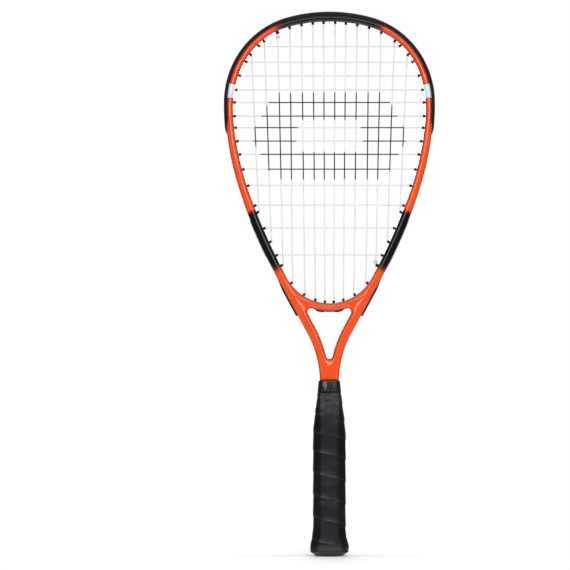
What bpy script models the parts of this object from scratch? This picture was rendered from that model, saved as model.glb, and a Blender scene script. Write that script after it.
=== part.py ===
"""Ricochet racket, upright on its butt.

Metres, +Z up. X runs across the head, Y through its depth, and the front faces -Y. The origin is the middle
of the butt's flat end. Outlines are drawn in millimetres in the XZ plane, and MM scales them.
"""

import math

import bmesh
import bpy
import numpy as np
from mathutils import Matrix, Vector

MM = 0.001
GAP = 0.3

LENGTH = 575.0
GUARD_RISE = 1.7
BEAM_DEPTH = 17.5
EDGE_ROUND = 3.4
SAG = 0.2
FINE = 8

# Right half of the frame's outer edge, from the top: radius and degrees of each arc down to the straight arm.
OUTER_ARCS = ((166.0, -14.8), (89.6, -44.4), (94.4, -30.2), (275.6, -16.1), (502.6, -13.0))
SHOULDER_BEND = 107.4
SHAFT_HALF = 10.0
SHAFT_BOTTOM = 3.4

HEAD_TOP = 565.0
HEAD_ARCS = ((168.0, -12.8), (81.0, -61.0), (116.0, -20.6), (313.0, -15.8), (685.0, -7.8))

THROAT_TOP = 258.7
THROAT_ROOF = (60.0, 17.6)
THROAT_CORNER = (3.9, -135.9)
THROAT_RUN = 16.0
THROAT_BEND = (122.0, 15.5)

# Channel round the outer edge for the grommet strips and the outside loops of the string.
CHANNEL_DEPTH = 3.0
CHANNEL_HALF = 3.2
STRIP_HALF = 2.9
STRIP_INNER_HALF = 2.2
STRIP_FLOOR = 0.7
BRIDGE_CHANNEL_DEPTH = 2.4

GUARD_END_Z = 446.0
GUARD_TIP_HALF = 3.2
GUARD_TAPER_Z = 461.0
LAND_BOTTOM = 0.45
SIDE_STRIP_END_Z = 299.0
LOWER_STRIP_END_Z = 254.0
LOWER_STRIP_RISE = 1.8
SLOT_PITCH = 14.7
SLOT_LENGTH = 10.5
SLOT_WIDTH = 2.2
SLOT_OFFSET = 4.5
SLOT_CUT = 2.4

BRIDGE_STRIP_HALF_SPAN = 16.5
BRIDGE_STRIP_RISE = 0.9
PAD_X = 9.6
PAD_RISE = 1.7
PAD_HALF_TOP = 3.0
PAD_HALF_FOOT = 4.5

# How far a cutter runs past what it cuts, and its reach where it goes right through.
CLEAR = 3.0
FAR = 200.0

# The string: where the mains leave the top and bottom of the head, and the heights of the crosses.
STRING = 1.2
WEAVE = 0.85
MAINS_TOP = (6.1, 17.4, 29.3, 41.7, 54.5, 68.5, 82.2)
MAINS_BOTTOM = (4.7, 14.8, 26.0, 38.9, 49.0, 61.2, 74.5)
CROSSES = (538.4, 521.8, 507.4, 492.5, 479.3, 464.9, 452.7, 438.5, 424.5, 408.8, 391.6, 370.7, 346.7, 318.2)
WEAVE_Z = 405.0
LANE = 1.4
BORE_SIDE = 0.3
MOUTH = 0.6
LOOP_BEND = 0.9
LOOP_START = 3.0
LOOP_STEP = 12.0
OVER_LAYER = 1.55

# The string's two ends are knotted on the fifth mains, and each shares that main's hole.
TIE_MAIN = 5
TIE_SIDE = 0.75
KNOT_TURNS = 1.75
KNOT_STEPS = 14
KNOT_START = 1.7
KNOT_PITCH = STRING + 0.5
KNOT_RADIUS = STRING + 0.55
NEIGHBOURS = 8

# Grommet barrels: how far they stand in, their diameters, and how far they lean from the string to the
# frame's normal, with the mains' lower ones each on its own.
BARREL_STAND = 2.6
BARREL = 3.0
BORE = 2.2
TIE_BARREL = 4.0
TIE_BORE = 3.1
BARREL_SIDES = 6
LEAN = 0.75
LOWER_LEANS = (0.0, 0.0, 1.0, 1.0, 1.2, LEAN, LEAN)

# Grip section at each height: half width, half depth and corner cut of the tape's outer surface.
GRIP_Z = (5.3, 12.0, 20.0, 29.0, 130.0, 147.0, 164.0, 173.0)
GRIP_HALF_WIDTH = (20.4, 20.1, 18.0, 17.1, 17.1, 15.5, 13.3, 12.2)
GRIP_HALF_DEPTH = (18.2, 17.9, 15.6, 14.1, 14.1, 12.9, 11.6, 10.9)
GRIP_CORNER = (8.4, 8.4, 8.4, 8.4, 8.4, 6.5, 4.0, 3.4)
TAPE = 1.6
WRAP_PITCH = 24.0
WRAP_STEP = 0.3
WRAP_SEAM_Z = 5.0
WRAP_AROUND = 16
WRAP_SECTION = ((0.0, 1.0), (4.0, 0.8), (10.0, 0.2), (17.0, -0.2), (WRAP_PITCH, -0.6))
TAPE_TOP = 173.0
PALLET_TOP = 164.0
REBATE_TOP = 30.5
REBATE = (13.4, 10.6, 5.5)
CAP_CHAMFER = 5.0
CAP_FOOT = (13.0, 11.0, 5.5)
CAP_FLOOR = 3.0
BAND_TOP = 187.0
BAND_FOOT = (12.0, 10.8, 3.2)
BAND_HEAD = (11.1, 9.9, 3.0)

STAPLE_Z = 23.9
STAPLE_WIRE = 0.7
STAPLE_HALF = 4.0
STAPLE_CROWN_X = 15.3
STAPLE_TIP_X = 11.4
TACK_Z = 9.0
TACK_HEAD = 4.2
TACK_HEAD_THICK = 0.7
TACK_SHANK = 1.4
TACK_TIP = 9.6

SIDES = ((-1, "left"), (1, "right"))
HALVES = ((-1, "front"), (1, "back"))

PAINT = (0.90, 0.075, 0.012)
NYLON = (0.012, 0.012, 0.014)
STRING_WHITE = (0.75, 0.75, 0.74)
TAPE_BLACK = (0.018, 0.018, 0.022)
GLOSS_BLACK = (0.010, 0.010, 0.011)
RUBBER = (0.014, 0.014, 0.015)
FOAM = (0.45, 0.40, 0.28)
STEEL = (0.55, 0.55, 0.56)


class Edge:
    """Right half of a symmetric outline, walked clockwise from the middle of its top.

    Its points lie close together on the true curve, and every FINE-th one is a corner of the faceted solids.
    """

    def __init__(self, top, moves):
        x, z = 0.0, top
        heading = 0.0
        points, headings = [(x, z)], [heading]
        for move in moves:
            if len(move) == 1:
                length, = move
                for step in range(1, FINE + 1):
                    ahead = length * step / FINE
                    points.append((x + ahead * math.cos(heading), z + ahead * math.sin(heading)))
                    headings.append(heading)
                x, z = points[-1]
                continue
            radius, turn = move[0], math.radians(move[1])
            side = math.copysign(1.0, turn)
            centre_x = x - side * radius * math.sin(heading)
            centre_z = z + side * radius * math.cos(heading)
            steps = FINE * max(2, math.ceil(abs(turn) / (2 * math.acos(1 - min(SAG / radius, 0.5)))))
            for step in range(1, steps + 1):
                angle = heading + turn * step / steps
                x = centre_x + side * radius * math.sin(angle)
                z = centre_z - side * radius * math.cos(angle)
                points.append((x, z))
                headings.append(angle)
            heading += turn
        self.points = np.array(points)
        self.normals = np.stack([-np.sin(headings), np.cos(headings)], axis=1)
        self.run = np.concatenate([[0.0], np.cumsum(np.hypot(*np.diff(self.points, axis=0).T))])
        self.heading = heading

    def at(self, run, rise=0.0):
        """Point at a signed distance from the top, right of it if positive, moved out by rise."""
        side = math.copysign(1.0, run)
        point = np.array([np.interp(abs(run), self.run, self.points[:, k]) for k in (0, 1)])
        point = point + rise * self.normal(abs(run))
        return np.array([side * point[0], point[1]])

    def normal(self, run):
        side = math.copysign(1.0, run)
        normal = np.array([np.interp(abs(run), self.run, self.normals[:, k]) for k in (0, 1)])
        normal /= np.linalg.norm(normal)
        return np.array([side * normal[0], normal[1]])

    def hit(self, start, along, rise=0.0):
        """Distance round the outline at which a ray from start first crosses it, moved out by rise."""
        points = self.points + rise * self.normals
        aside = (points[:, 0] - start[0]) * along[1] - (points[:, 1] - start[1]) * along[0]
        best, found = None, None
        for i in np.flatnonzero(aside[:-1] * aside[1:] <= 0):
            if aside[i] == aside[i + 1]:
                continue
            share = aside[i] / (aside[i] - aside[i + 1])
            ahead = (points[i] + share * (points[i + 1] - points[i]) - start) @ along
            if ahead > 0 and (best is None or ahead < best):
                best, found = ahead, self.run[i] + share * (self.run[i + 1] - self.run[i])
        return found

    def run_at_height(self, z):
        """Distance from the top at which the outline comes down to height z."""
        below = int(np.argmax(self.points[:, 1] < z))
        above = below - 1
        share = (self.points[above, 1] - z) / (self.points[above, 1] - self.points[below, 1])
        return self.run[above] + share * (self.run[below] - self.run[above])

    def loop(self):
        """The whole closed outline."""
        corners = self.points[::FINE]
        right = corners[np.abs(corners[:, 0]) > 1e-6]
        middle = corners[np.abs(corners[:, 0]) <= 1e-6]
        left = right[::-1] * (-1.0, 1.0)
        bottom = middle[1:]
        return np.concatenate([middle[:1], right, bottom, left])

    def stretch(self, start, end, rise=0.0):
        """Points from one signed distance to another, with one between each two corners of the outline."""
        corners = self.run[::FINE]
        between = (corners[1:] + corners[:-1]) / 2
        stations = np.concatenate([-between[::-1], [0.0], between])
        inner = stations[(stations > start + 1.0) & (stations < end - 1.0)]
        return [self.at(run, rise) for run in (start, *inner, end)]


def closing_arc(x, heading):
    """Radius of the clockwise arc that ends level on the centre line."""
    return -x / math.sin(heading)


def outer_edge():
    arcs = Edge(LENGTH - GUARD_RISE, OUTER_ARCS)
    bend = -math.pi / 2 - arcs.heading
    end_x = arcs.points[-1, 0]
    arm = (SHAFT_HALF + SHOULDER_BEND * (1 - math.cos(bend)) - end_x) / math.cos(arcs.heading)
    to_shaft = OUTER_ARCS + ((arm,), (SHOULDER_BEND, math.degrees(bend)))
    shaft_top = Edge(LENGTH - GUARD_RISE, to_shaft).points[-1, 1]
    return Edge(LENGTH - GUARD_RISE, to_shaft + ((shaft_top - SHAFT_BOTTOM,),))


def head_edge():
    arcs = Edge(HEAD_TOP, HEAD_ARCS)
    radius = closing_arc(arcs.points[-1, 0], arcs.heading)
    return Edge(HEAD_TOP, HEAD_ARCS + ((radius, -180.0 - math.degrees(arcs.heading)),))


def throat_edge():
    sides = (THROAT_ROOF, THROAT_CORNER, (THROAT_RUN,), THROAT_BEND)
    half = Edge(THROAT_TOP, sides)
    radius = closing_arc(half.points[-1, 0], half.heading)
    return Edge(THROAT_TOP, sides + ((radius, -180.0 - math.degrees(half.heading)),))


OUTER = outer_edge()
HEAD = head_edge()
THROAT = throat_edge()


class Grommet:
    """One string hole: its barrel's inner tip, its axis, and where that comes out of the frame."""

    def __init__(self, start, along, outside=None, lean=LEAN, tie=False):
        side = math.copysign(1.0, start[0] if start[0] else along[0])
        start = np.array([abs(start[0]), start[1]])
        along = np.array([abs(along[0]), along[1]])
        tip_run = HEAD.hit(start, along, -BARREL_STAND)
        self.tip = HEAD.at(tip_run, -BARREL_STAND)
        axis = lean * HEAD.normal(tip_run) + (1 - lean) * along
        self.axis = axis / np.linalg.norm(axis)
        self.edge = outside or OUTER
        self.run = self.edge.hit(self.tip, self.axis)
        self.out = self.edge.normal(self.run) * (-1.0 if self.edge is THROAT else 1.0)
        self.exit = self.edge.at(self.run)
        self.tie = tie
        for value in (self.tip, self.axis, self.out, self.exit):
            value[0] *= side
        self.run *= side

    def on_axis(self, rise):
        """Point on the axis at a height above the frame's outer surface."""
        return self.exit + self.axis * rise / (self.axis @ self.out)

    def mouth(self):
        """Where the string bends, just clear of the barrel's tip."""
        return self.tip - self.axis * MOUTH


def make_grommets():
    mains_top, mains_bottom, crosses = {}, {}, {}
    for number, (top_x, bottom_x, lean) in enumerate(zip(MAINS_TOP, MAINS_BOTTOM, LOWER_LEANS), 1):
        for side in (1, -1):
            main = side * number
            mains_top[main] = Grommet((side * top_x, WEAVE_Z), (0.0, 1.0), tie=main == -TIE_MAIN)
            under_bridge = number <= 2
            outside = THROAT if under_bridge else OUTER
            start = (side * bottom_x, WEAVE_Z)
            mains_bottom[main] = Grommet(start, (0.0, -1.0), outside, lean, tie=main == TIE_MAIN)
    for number, z in enumerate(CROSSES, 1):
        for side in (1, -1):
            crosses[side * number] = Grommet((0.0, z), (side * 1.0, 0.0))
    return mains_top, mains_bottom, crosses


MAIN_TOPS, MAIN_BOTTOMS, CROSS_ENDS = make_grommets()
GROMMETS = (*MAIN_TOPS.values(), *MAIN_BOTTOMS.values(), *CROSS_ENDS.values())


def clear_scene():
    for obj in list(bpy.data.objects):
        bpy.data.objects.remove(obj, do_unlink=True)


def collection(name):
    made = bpy.data.collections.new(name)
    bpy.context.scene.collection.children.link(made)
    return made


def material(name, colour, roughness, metallic=0.0):
    made = bpy.data.materials.new(name)
    made.use_nodes = True
    surface = made.node_tree.nodes["Principled BSDF"]
    surface.inputs["Base Color"].default_value = (*colour, 1.0)
    surface.inputs["Roughness"].default_value = roughness
    surface.inputs["Metallic"].default_value = metallic
    made.diffuse_color = (*colour, 1.0)
    return made


def add(name, mesh, home, finish=None):
    obj = bpy.data.objects.new(name, mesh)
    home.objects.link(obj)
    if finish:
        mesh.materials.append(finish)
    if home is CUTTERS:
        obj.hide_render = True
        obj.display_type = "WIRE"
    return obj


def from_bmesh(name, shape, home, finish=None):
    bmesh.ops.recalc_face_normals(shape, faces=shape.faces)
    mesh = bpy.data.meshes.new(name)
    shape.to_mesh(mesh)
    shape.free()
    return add(name, mesh, home, finish)


def from_curve(name, curve, home, finish=None):
    """Mesh of a curve drawn in the XZ plane, with its caps welded on."""
    guide = bpy.data.objects.new(name, curve)
    bpy.context.scene.collection.objects.link(guide)
    if curve.bevel_mode == "OBJECT" or curve.dimensions == "2D":
        guide.rotation_euler = (math.pi / 2, 0.0, 0.0)
    bpy.context.view_layer.update()
    evaluated = guide.evaluated_get(bpy.context.evaluated_depsgraph_get())
    mesh = bpy.data.meshes.new_from_object(evaluated)
    mesh.transform(guide.matrix_world)
    bpy.data.objects.remove(guide)
    shape = bmesh.new()
    shape.from_mesh(mesh)
    bmesh.ops.remove_doubles(shape, verts=shape.verts, dist=1e-6)
    bpy.data.meshes.remove(mesh)
    return from_bmesh(name, shape, home, finish)


def spline(curve, points, closed):
    line = curve.splines.new("POLY")
    line.points.add(len(points) - 1)
    for knot, point in zip(line.points, points):
        place = [MM * value for value in point]
        place += [0.0] * (3 - len(place))
        knot.co = (*place, 1.0)
    line.use_cyclic_u = closed


def plate(name, loops, half_depth, home, finish=None, rounding=0.0):
    """Flat piece of closed outlines, the inner ones holes, with its edges rounded inside the outline."""
    curve = bpy.data.curves.new(name, "CURVE")
    curve.dimensions = "2D"
    curve.fill_mode = "BOTH"
    for points in loops:
        spline(curve, points, True)
    curve.extrude = MM * (half_depth - rounding)
    curve.bevel_depth = MM * rounding
    curve.bevel_resolution = 2
    curve.offset = -MM * rounding
    return from_curve(name, curve, home, finish)


def sweep(name, section, path, home, finish=None):
    """Section of (rise, depth) points carried along a clockwise path in the XZ plane."""
    profile = bpy.data.curves.new(name + "_section", "CURVE")
    profile.dimensions = "2D"
    spline(profile, [(-rise, depth) for rise, depth in section], True)
    holder = bpy.data.objects.new(name + "_section", profile)
    bpy.context.scene.collection.objects.link(holder)
    curve = bpy.data.curves.new(name, "CURVE")
    curve.dimensions = "3D"
    curve.twist_mode = "Z_UP"
    curve.bevel_mode = "OBJECT"
    curve.bevel_object = holder
    curve.use_fill_caps = True
    spline(curve, path, False)
    swept = from_curve(name, curve, home, finish)
    bpy.data.objects.remove(holder)
    return swept


def rods(name, ends, home, sides):
    """Cylinders from start to end points, given with their diameters, as one mesh."""
    shape = bmesh.new()
    for start, end, across in ends:
        start, end = Vector(start) * MM, Vector(end) * MM
        turn = (end - start).to_track_quat("Z", "X").to_matrix().to_4x4()
        bmesh.ops.create_cone(
            shape,
            cap_ends=True,
            segments=sides,
            radius1=across / 2 * MM,
            radius2=across / 2 * MM,
            depth=(end - start).length,
            matrix=Matrix.Translation((start + end) / 2) @ turn,
        )
    return from_bmesh(name, shape, home)


def boxes(name, bounds, home, finish=None):
    """Boxes from their low and high corners, as one mesh."""
    shape = bmesh.new()
    for low, high in bounds:
        low, high = Vector(low) * MM, Vector(high) * MM
        size = Matrix.Diagonal((*(high - low), 1.0))
        bmesh.ops.create_cube(shape, size=1.0, matrix=Matrix.Translation((low + high) / 2) @ size)
    return from_bmesh(name, shape, home, finish)


def loft(name, rings, home, finish=None):
    """Closed solid through rings of equally many points, from the lowest up."""
    shape = bmesh.new()
    rows = [[shape.verts.new(Vector(point) * MM) for point in ring] for ring in rings]
    for low, high in zip(rows, rows[1:]):
        for i in range(len(low)):
            j = (i + 1) % len(low)
            shape.faces.new((low[i], low[j], high[j], high[i]))
    shape.faces.new(rows[0][::-1])
    shape.faces.new(rows[-1])
    return from_bmesh(name, shape, home, finish)


def octagon(section, z):
    half_width, half_depth, corner = section
    inner_width, inner_depth = half_width - corner, half_depth - corner
    quarter = ((half_width, inner_depth), (inner_width, half_depth))
    turned = ((-inner_width, half_depth), (-half_width, inner_depth))
    upper = quarter + turned
    return [(x, y, z) for x, y in upper] + [(-x, -y, z) for x, y in upper]


def cut(target, tool, operation="DIFFERENCE"):
    modifier = target.modifiers.new(tool.name, "BOOLEAN")
    modifier.operation = operation
    modifier.object = tool
    modifier.solver = "EXACT"


def deep(point, y=0.0):
    """A point of the XZ plane at depth y."""
    return (point[0], y, point[1])


def barrel_rods(name, grommets, start, rise, grow=0.0, bores=False):
    """Rods on the grommets' axes, from a distance after the tip to a height over the outer surface."""
    plain, tied = (BORE, TIE_BORE) if bores else (BARREL, TIE_BARREL)
    ends = []
    for grommet in grommets:
        first = grommet.tip + grommet.axis * start
        across = (tied if grommet.tie else plain) + 2 * grow
        ends.append((deep(first), deep(grommet.on_axis(rise)), across))
    return rods(name, ends, CUTTERS, BARREL_SIDES)


def bridge_span(half_span):
    """Distance along the throat's roof from its middle to a width."""
    return THROAT.hit(np.array([half_span, LOWER_STRIP_END_Z]), np.array([0.0, 1.0]))


def make_frame():
    outlines = (OUTER.loop(), HEAD.loop(), THROAT.loop())
    frame = plate("frame", outlines, BEAM_DEPTH / 2, PARTS, PAINT_GLOSS, EDGE_ROUND)
    end = OUTER.run_at_height(LOWER_STRIP_END_Z - GAP)
    groove = [(-CHANNEL_DEPTH, CHANNEL_HALF), (CLEAR, CHANNEL_HALF)]
    groove += [(rise, -depth) for rise, depth in groove[::-1]]
    cut(frame, sweep("outer_channel", groove, OUTER.stretch(-end, end), CUTTERS))
    span = bridge_span(BRIDGE_STRIP_HALF_SPAN + GAP)
    roof = THROAT.stretch(-span, span, BRIDGE_CHANNEL_DEPTH)
    under = THROAT.stretch(-span, span, -CLEAR)
    cut(frame, plate("bridge_channel", [roof + under[::-1]], CHANNEL_HALF, CUTTERS))
    cut(frame, barrel_rods("string_holes", GROMMETS, BARREL_STAND / 3, 1.0, GAP))


def finish_strip(strip, grommets, floor_rise):
    """Adds the barrels to a strip and bores them."""
    cut(strip, barrel_rods(strip.name + "_barrels", grommets, 0.0, floor_rise), "UNION")
    cut(strip, barrel_rods(strip.name + "_bores", grommets, -1.0, floor_rise + CLEAR / 2, bores=True))


def channel_section(bottom, top):
    """Channel that opens outwards, as (rise, depth) points."""
    floor = bottom + STRIP_FLOOR
    half = [(bottom, STRIP_HALF), (top, STRIP_HALF), (top, STRIP_INNER_HALF), (floor, STRIP_INNER_HALF)]
    return half + [(rise, -depth) for rise, depth in half[::-1]]


def guard_section():
    """Half of it hugs the frame's rounded edge, and the channel dips between the two lands."""
    bottom = GAP - CHANNEL_DEPTH
    half = [
        (bottom, STRIP_HALF),
        (LAND_BOTTOM, STRIP_HALF),
        (LAND_BOTTOM, 5.9),
        (-0.7, 8.1),
        (-0.7, 8.65),
        (1.0, 7.7),
        (GUARD_RISE, 5.9),
        (GUARD_RISE, STRIP_INNER_HALF),
        (bottom + STRIP_FLOOR, STRIP_INNER_HALF),
    ]
    return half + [(rise, -depth) for rise, depth in half[::-1]]


def slot_cutter(end):
    """Slots through both lands of the guard, evenly spaced from the middle."""
    shape = bmesh.new()
    count = int((end - SLOT_LENGTH) / SLOT_PITCH)
    for number in range(-count, count + 1):
        run = number * SLOT_PITCH
        centre, normal = OUTER.at(run, 1.0), OUTER.normal(run)
        turn = Matrix.Rotation(math.atan2(normal[0], normal[1]), 4, "Y")
        size = Matrix.Diagonal((SLOT_LENGTH * MM, SLOT_WIDTH * MM, SLOT_CUT * MM, 1.0))
        for depth in (-SLOT_OFFSET, SLOT_OFFSET):
            place = Matrix.Translation(Vector(deep(centre, depth)) * MM)
            bmesh.ops.create_cube(shape, size=1.0, matrix=place @ turn @ size)
    return from_bmesh("guard_slots", shape, CUTTERS)


def taper_cutter():
    """Slanted blocks that narrow the guard's two ends to the width of its channel."""
    shape = bmesh.new()
    slant = math.atan2(BEAM_DEPTH / 2 - GUARD_TIP_HALF, GUARD_TAPER_Z - GUARD_END_Z)
    size = Matrix.Diagonal((BEAM_DEPTH * MM, BEAM_DEPTH * MM, FAR * MM, 1.0))
    for side in (-1, 1):
        edge = side * OUTER.at(OUTER.run_at_height(GUARD_END_Z))[0]
        for facing in (-1, 1):
            tip = Matrix.Translation(Vector((edge, facing * GUARD_TIP_HALF, GUARD_END_Z)) * MM)
            turn = Matrix.Rotation(-facing * slant, 4, "X")
            out = Matrix.Translation(Vector((0.0, facing * BEAM_DEPTH / 2, 0.0)) * MM)
            bmesh.ops.create_cube(shape, size=1.0, matrix=tip @ turn @ out @ size)
    return from_bmesh("guard_taper", shape, CUTTERS)


def make_strips():
    guard_end = OUTER.run_at_height(GUARD_END_Z)
    side_end = OUTER.run_at_height(SIDE_STRIP_END_Z)
    lower_end = OUTER.run_at_height(LOWER_STRIP_END_Z)
    bottom = GAP - CHANNEL_DEPTH
    floor_rise = bottom + STRIP_FLOOR / 2
    on_outer = [grommet for grommet in GROMMETS if grommet.edge is OUTER]

    guard = sweep("bumper_guard", guard_section(), OUTER.stretch(-guard_end, guard_end), PARTS, NYLON_MATT)
    finish_strip(guard, [g for g in on_outer if abs(g.run) < guard_end], floor_rise)
    cut(guard, slot_cutter(guard_end))
    cut(guard, taper_cutter())

    for side, word in SIDES:
        for name, start, end, rise in (
            ("side_grommet_strip_", guard_end + 2 * GAP, side_end, 0.0),
            ("lower_grommet_strip_", side_end + 2 * GAP, lower_end, LOWER_STRIP_RISE),
        ):
            ends = sorted((side * start, side * end))
            strip = sweep(name + word, channel_section(bottom, rise), OUTER.stretch(*ends), PARTS, NYLON_MATT)
            held = [g for g in on_outer if ends[0] < g.run < ends[1]]
            finish_strip(strip, held, floor_rise)


def make_bridge_strip():
    """Strip under the bridge: a bar with two pads, hollowed for the string's loops."""
    span = bridge_span(BRIDGE_STRIP_HALF_SPAN)
    top = BRIDGE_CHANNEL_DEPTH - GAP
    steps = [(PAD_X - PAD_HALF_FOOT, BRIDGE_STRIP_RISE), (PAD_X - PAD_HALF_TOP, PAD_RISE)]
    steps += [(PAD_X + PAD_HALF_TOP, PAD_RISE), (PAD_X + PAD_HALF_FOOT, BRIDGE_STRIP_RISE)]
    steps += [(span, BRIDGE_STRIP_RISE)]
    underside = [(-run, drop) for run, drop in steps[::-1]] + steps
    outline = THROAT.stretch(-span, span, top) + [THROAT.at(run, -drop) for run, drop in underside[::-1]]
    strip = plate("bridge_grommet_strip", [outline], STRIP_HALF, PARTS, NYLON_MATT)
    past = span + CLEAR / 2
    inside = THROAT.stretch(-past, past, top - STRIP_FLOOR)
    outside = THROAT.stretch(-past, past, -CLEAR)
    cut(strip, plate("bridge_hollow", [inside + outside[::-1]], STRIP_INNER_HALF, CUTTERS))
    held = [grommet for grommet in GROMMETS if grommet.edge is THROAT]
    finish_strip(strip, held, STRIP_FLOOR / 2 - top)


LOOP_RISE = STRIP_FLOOR + STRING / 2 + 2 * GAP - CHANNEL_DEPTH
OVER_RISE = LOOP_RISE + OVER_LAYER
BRIDGE_LOOP_RISE = STRIP_FLOOR + STRING / 2 + 2 * GAP - BRIDGE_CHANNEL_DEPTH


def main_depth(main, cross):
    """The mains pass behind and in front of the crosses by turns."""
    place = main - 1 if main > 0 else -main
    return WEAVE if (place + cross) % 2 else -WEAVE


def crossings(kind, number, start):
    """Where one main or cross meets the others, as (point, depth), in order from start."""
    mains = [number] if kind == "main" else list(MAIN_TOPS)
    crosses = [number] if kind == "cross" else range(1, len(CROSSES) + 1)
    side = 1.0 if kind == "main" else -1.0
    points = []
    for main in mains:
        low, high = MAIN_BOTTOMS[main].tip, MAIN_TOPS[main].tip
        for cross in crosses:
            z = CROSS_ENDS[cross].tip[1]
            x = np.interp(z, (low[1], high[1]), (low[0], high[0]))
            if low[1] < z < high[1] and abs(x) < CROSS_ENDS[cross].tip[0]:
                points.append((np.array([x, z]), side * main_depth(main, cross)))
    return sorted(points, key=lambda point: np.linalg.norm(point[0] - start))


class Leg:
    """A straight inside run of the string, from one grommet to another."""

    def __init__(self, kind, number, ends):
        self.kind = kind
        self.start, self.end = ends
        self.woven = crossings(kind, number, self.start.tip)

    def points(self):
        """In its bores the string lies towards the side on which it meets its nearest crossing."""
        first, last = self.woven[0][1], self.woven[-1][1]
        ends = ((self.start, first), (self.end, last))
        mouths = [-TIE_SIDE if hole.tie else math.copysign(BORE_SIDE, near) for hole, near in ends]
        inside = [deep(point, depth) for point, depth in self.woven]
        return [deep(self.start.mouth(), mouths[0])] + inside + [deep(self.end.mouth(), mouths[1])]


def string_legs():
    """In stringing order: first the mains, from right to left, then the crosses, upwards."""
    legs = []
    for order, main in enumerate([*range(7, 0, -1), *range(-1, -8, -1)]):
        ends = (MAIN_BOTTOMS[main], MAIN_TOPS[main])
        legs.append(Leg("main", main, ends[::-1] if order % 2 else ends))
    for order, cross in enumerate(range(len(CROSSES), 0, -1)):
        ends = (CROSS_ENDS[-cross], CROSS_ENDS[cross])
        legs.append(Leg("cross", cross, ends[::-1] if order % 2 else ends))
    return legs


class Loop:
    """An outside run of the string, along the channel from one hole to another."""

    def __init__(self, kind, start, end):
        self.kind, self.start, self.end = kind, start, end
        self.low, self.high = sorted((start.run, end.run))

    def beside(self, other):
        same_edge = self.start.edge is other.start.edge
        return other is not self and same_edge and self.low < other.high and other.low < self.high

    def lane(self, loops):
        """Depth at which it runs: two that share a stretch of the channel lie side by side."""
        if self in (loops[0], loops[-1]):
            return TIE_SIDE
        if self.kind == "transfer" or not any(self.beside(other) for other in loops):
            return 0.0
        return -LANE if self.kind == "main" else LANE

    def points(self, lane, start_depth, end_depth):
        edge = self.start.edge
        out = -1.0 if edge is THROAT else 1.0
        base = BRIDGE_LOOP_RISE if edge is THROAT else LOOP_RISE
        rise = OVER_RISE if self.kind == "transfer" else base
        way = math.copysign(1.0, self.end.run - self.start.run)
        length = self.high - self.low - 2 * LOOP_START
        steps = max(1, round(length / LOOP_STEP))
        down, up = self.start.run + LOOP_BEND * way, self.end.run - LOOP_BEND * way
        points = [deep(self.start.on_axis(base - 1.0), start_depth)]
        points.append(deep(edge.at(down, base * out), (start_depth + lane) / 2))
        for step in range(steps + 1):
            run = self.start.run + way * (LOOP_START + length * step / steps)
            points.append(deep(edge.at(run, rise * out), lane))
        points.append(deep(edge.at(up, base * out), (end_depth + lane) / 2))
        points.append(deep(self.end.on_axis(base - 1.0), end_depth))
        return points


def string_loops(legs, tie_in, tie_out):
    loops = [Loop("transfer", tie_in, legs[0].start)]
    for before, after in zip(legs, legs[1:]):
        kind = before.kind if before.kind == after.kind else "transfer"
        loops.append(Loop(kind, before.end, after.start))
    return loops + [Loop("transfer", legs[-1].end, tie_out)]


def knot(grommet, crossing):
    """Turns of the string's end round the main that shares its hole, from the mouth inwards."""
    mouth = np.array(deep(grommet.mouth(), -TIE_SIDE))
    along = np.array(deep(*crossing)) - mouth
    along /= np.linalg.norm(along)
    back = np.array([0.0, 1.0, 0.0])
    across = np.cross(along, back)
    points = []
    for step in range(1, KNOT_STEPS + 1):
        turns = KNOT_TURNS * step / KNOT_STEPS
        angle = 2 * math.pi * turns
        swing = KNOT_RADIUS * (across * math.sin(angle) + back * math.cos(angle))
        points.append(mouth + along * (KNOT_START + KNOT_PITCH * turns) + swing)
    return points


def string_route():
    """The whole string from knot to knot: a loop outside the frame, a leg inside, and so on."""
    tie_in, tie_out = MAIN_BOTTOMS[TIE_MAIN], MAIN_TOPS[-TIE_MAIN]
    legs = string_legs()
    loops = string_loops(legs, tie_in, tie_out)
    first = knot(tie_in, crossings("main", TIE_MAIN, tie_in.tip)[0])
    last = knot(tie_out, crossings("main", -TIE_MAIN, tie_out.tip)[0])
    route = first[::-1] + [deep(tie_in.mouth(), TIE_SIDE)]
    for loop, leg in zip(loops, [*legs, None]):
        depths = [-TIE_SIDE if hole.tie else 0.0 for hole in (loop.start, loop.end)]
        if loop is loops[0]:
            depths[0] = TIE_SIDE
        if loop is loops[-1]:
            depths[1] = TIE_SIDE
        route += loop.points(loop.lane(loops), *depths)
        if leg:
            route += leg.points()
    route += [deep(tie_out.mouth(), TIE_SIDE)] + last
    return np.array(route)


def least_gap(route):
    """Least gap between the string's surface and itself, read at points on it that aren't neighbours."""
    lengths = np.linalg.norm(np.diff(route, axis=0), axis=1)
    along = np.concatenate([[0.0], np.cumsum(lengths)])
    places = np.arange(0.0, along[-1], STRING / 2)
    points = np.stack([np.interp(places, along, route[:, k]) for k in range(3)], axis=1)
    least = np.inf
    for i, point in enumerate(points):
        beyond = points[i + NEIGHBOURS:]
        if len(beyond):
            least = min(least, np.linalg.norm(beyond - point, axis=1).min())
    return least - STRING


def make_string():
    route = string_route()
    curve = bpy.data.curves.new("string", "CURVE")
    curve.dimensions = "3D"
    curve.bevel_depth = STRING / 2 * MM
    curve.bevel_resolution = 0
    curve.use_fill_caps = True
    spline(curve, route, False)
    from_curve("string", curve, PARTS, STRING_GLOSS)
    print(f"string: {len(route)} points, least gap to itself {least_gap(route):.2f} mm")


def grip_section(z, inset=0.0):
    """Section of the grip at a height, moved inwards by inset."""
    sizes = [np.interp(z, GRIP_Z, values) for values in (GRIP_HALF_WIDTH, GRIP_HALF_DEPTH, GRIP_CORNER)]
    return sizes[0] - inset, sizes[1] - inset, sizes[2] - inset * (2 - math.sqrt(2))


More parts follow.
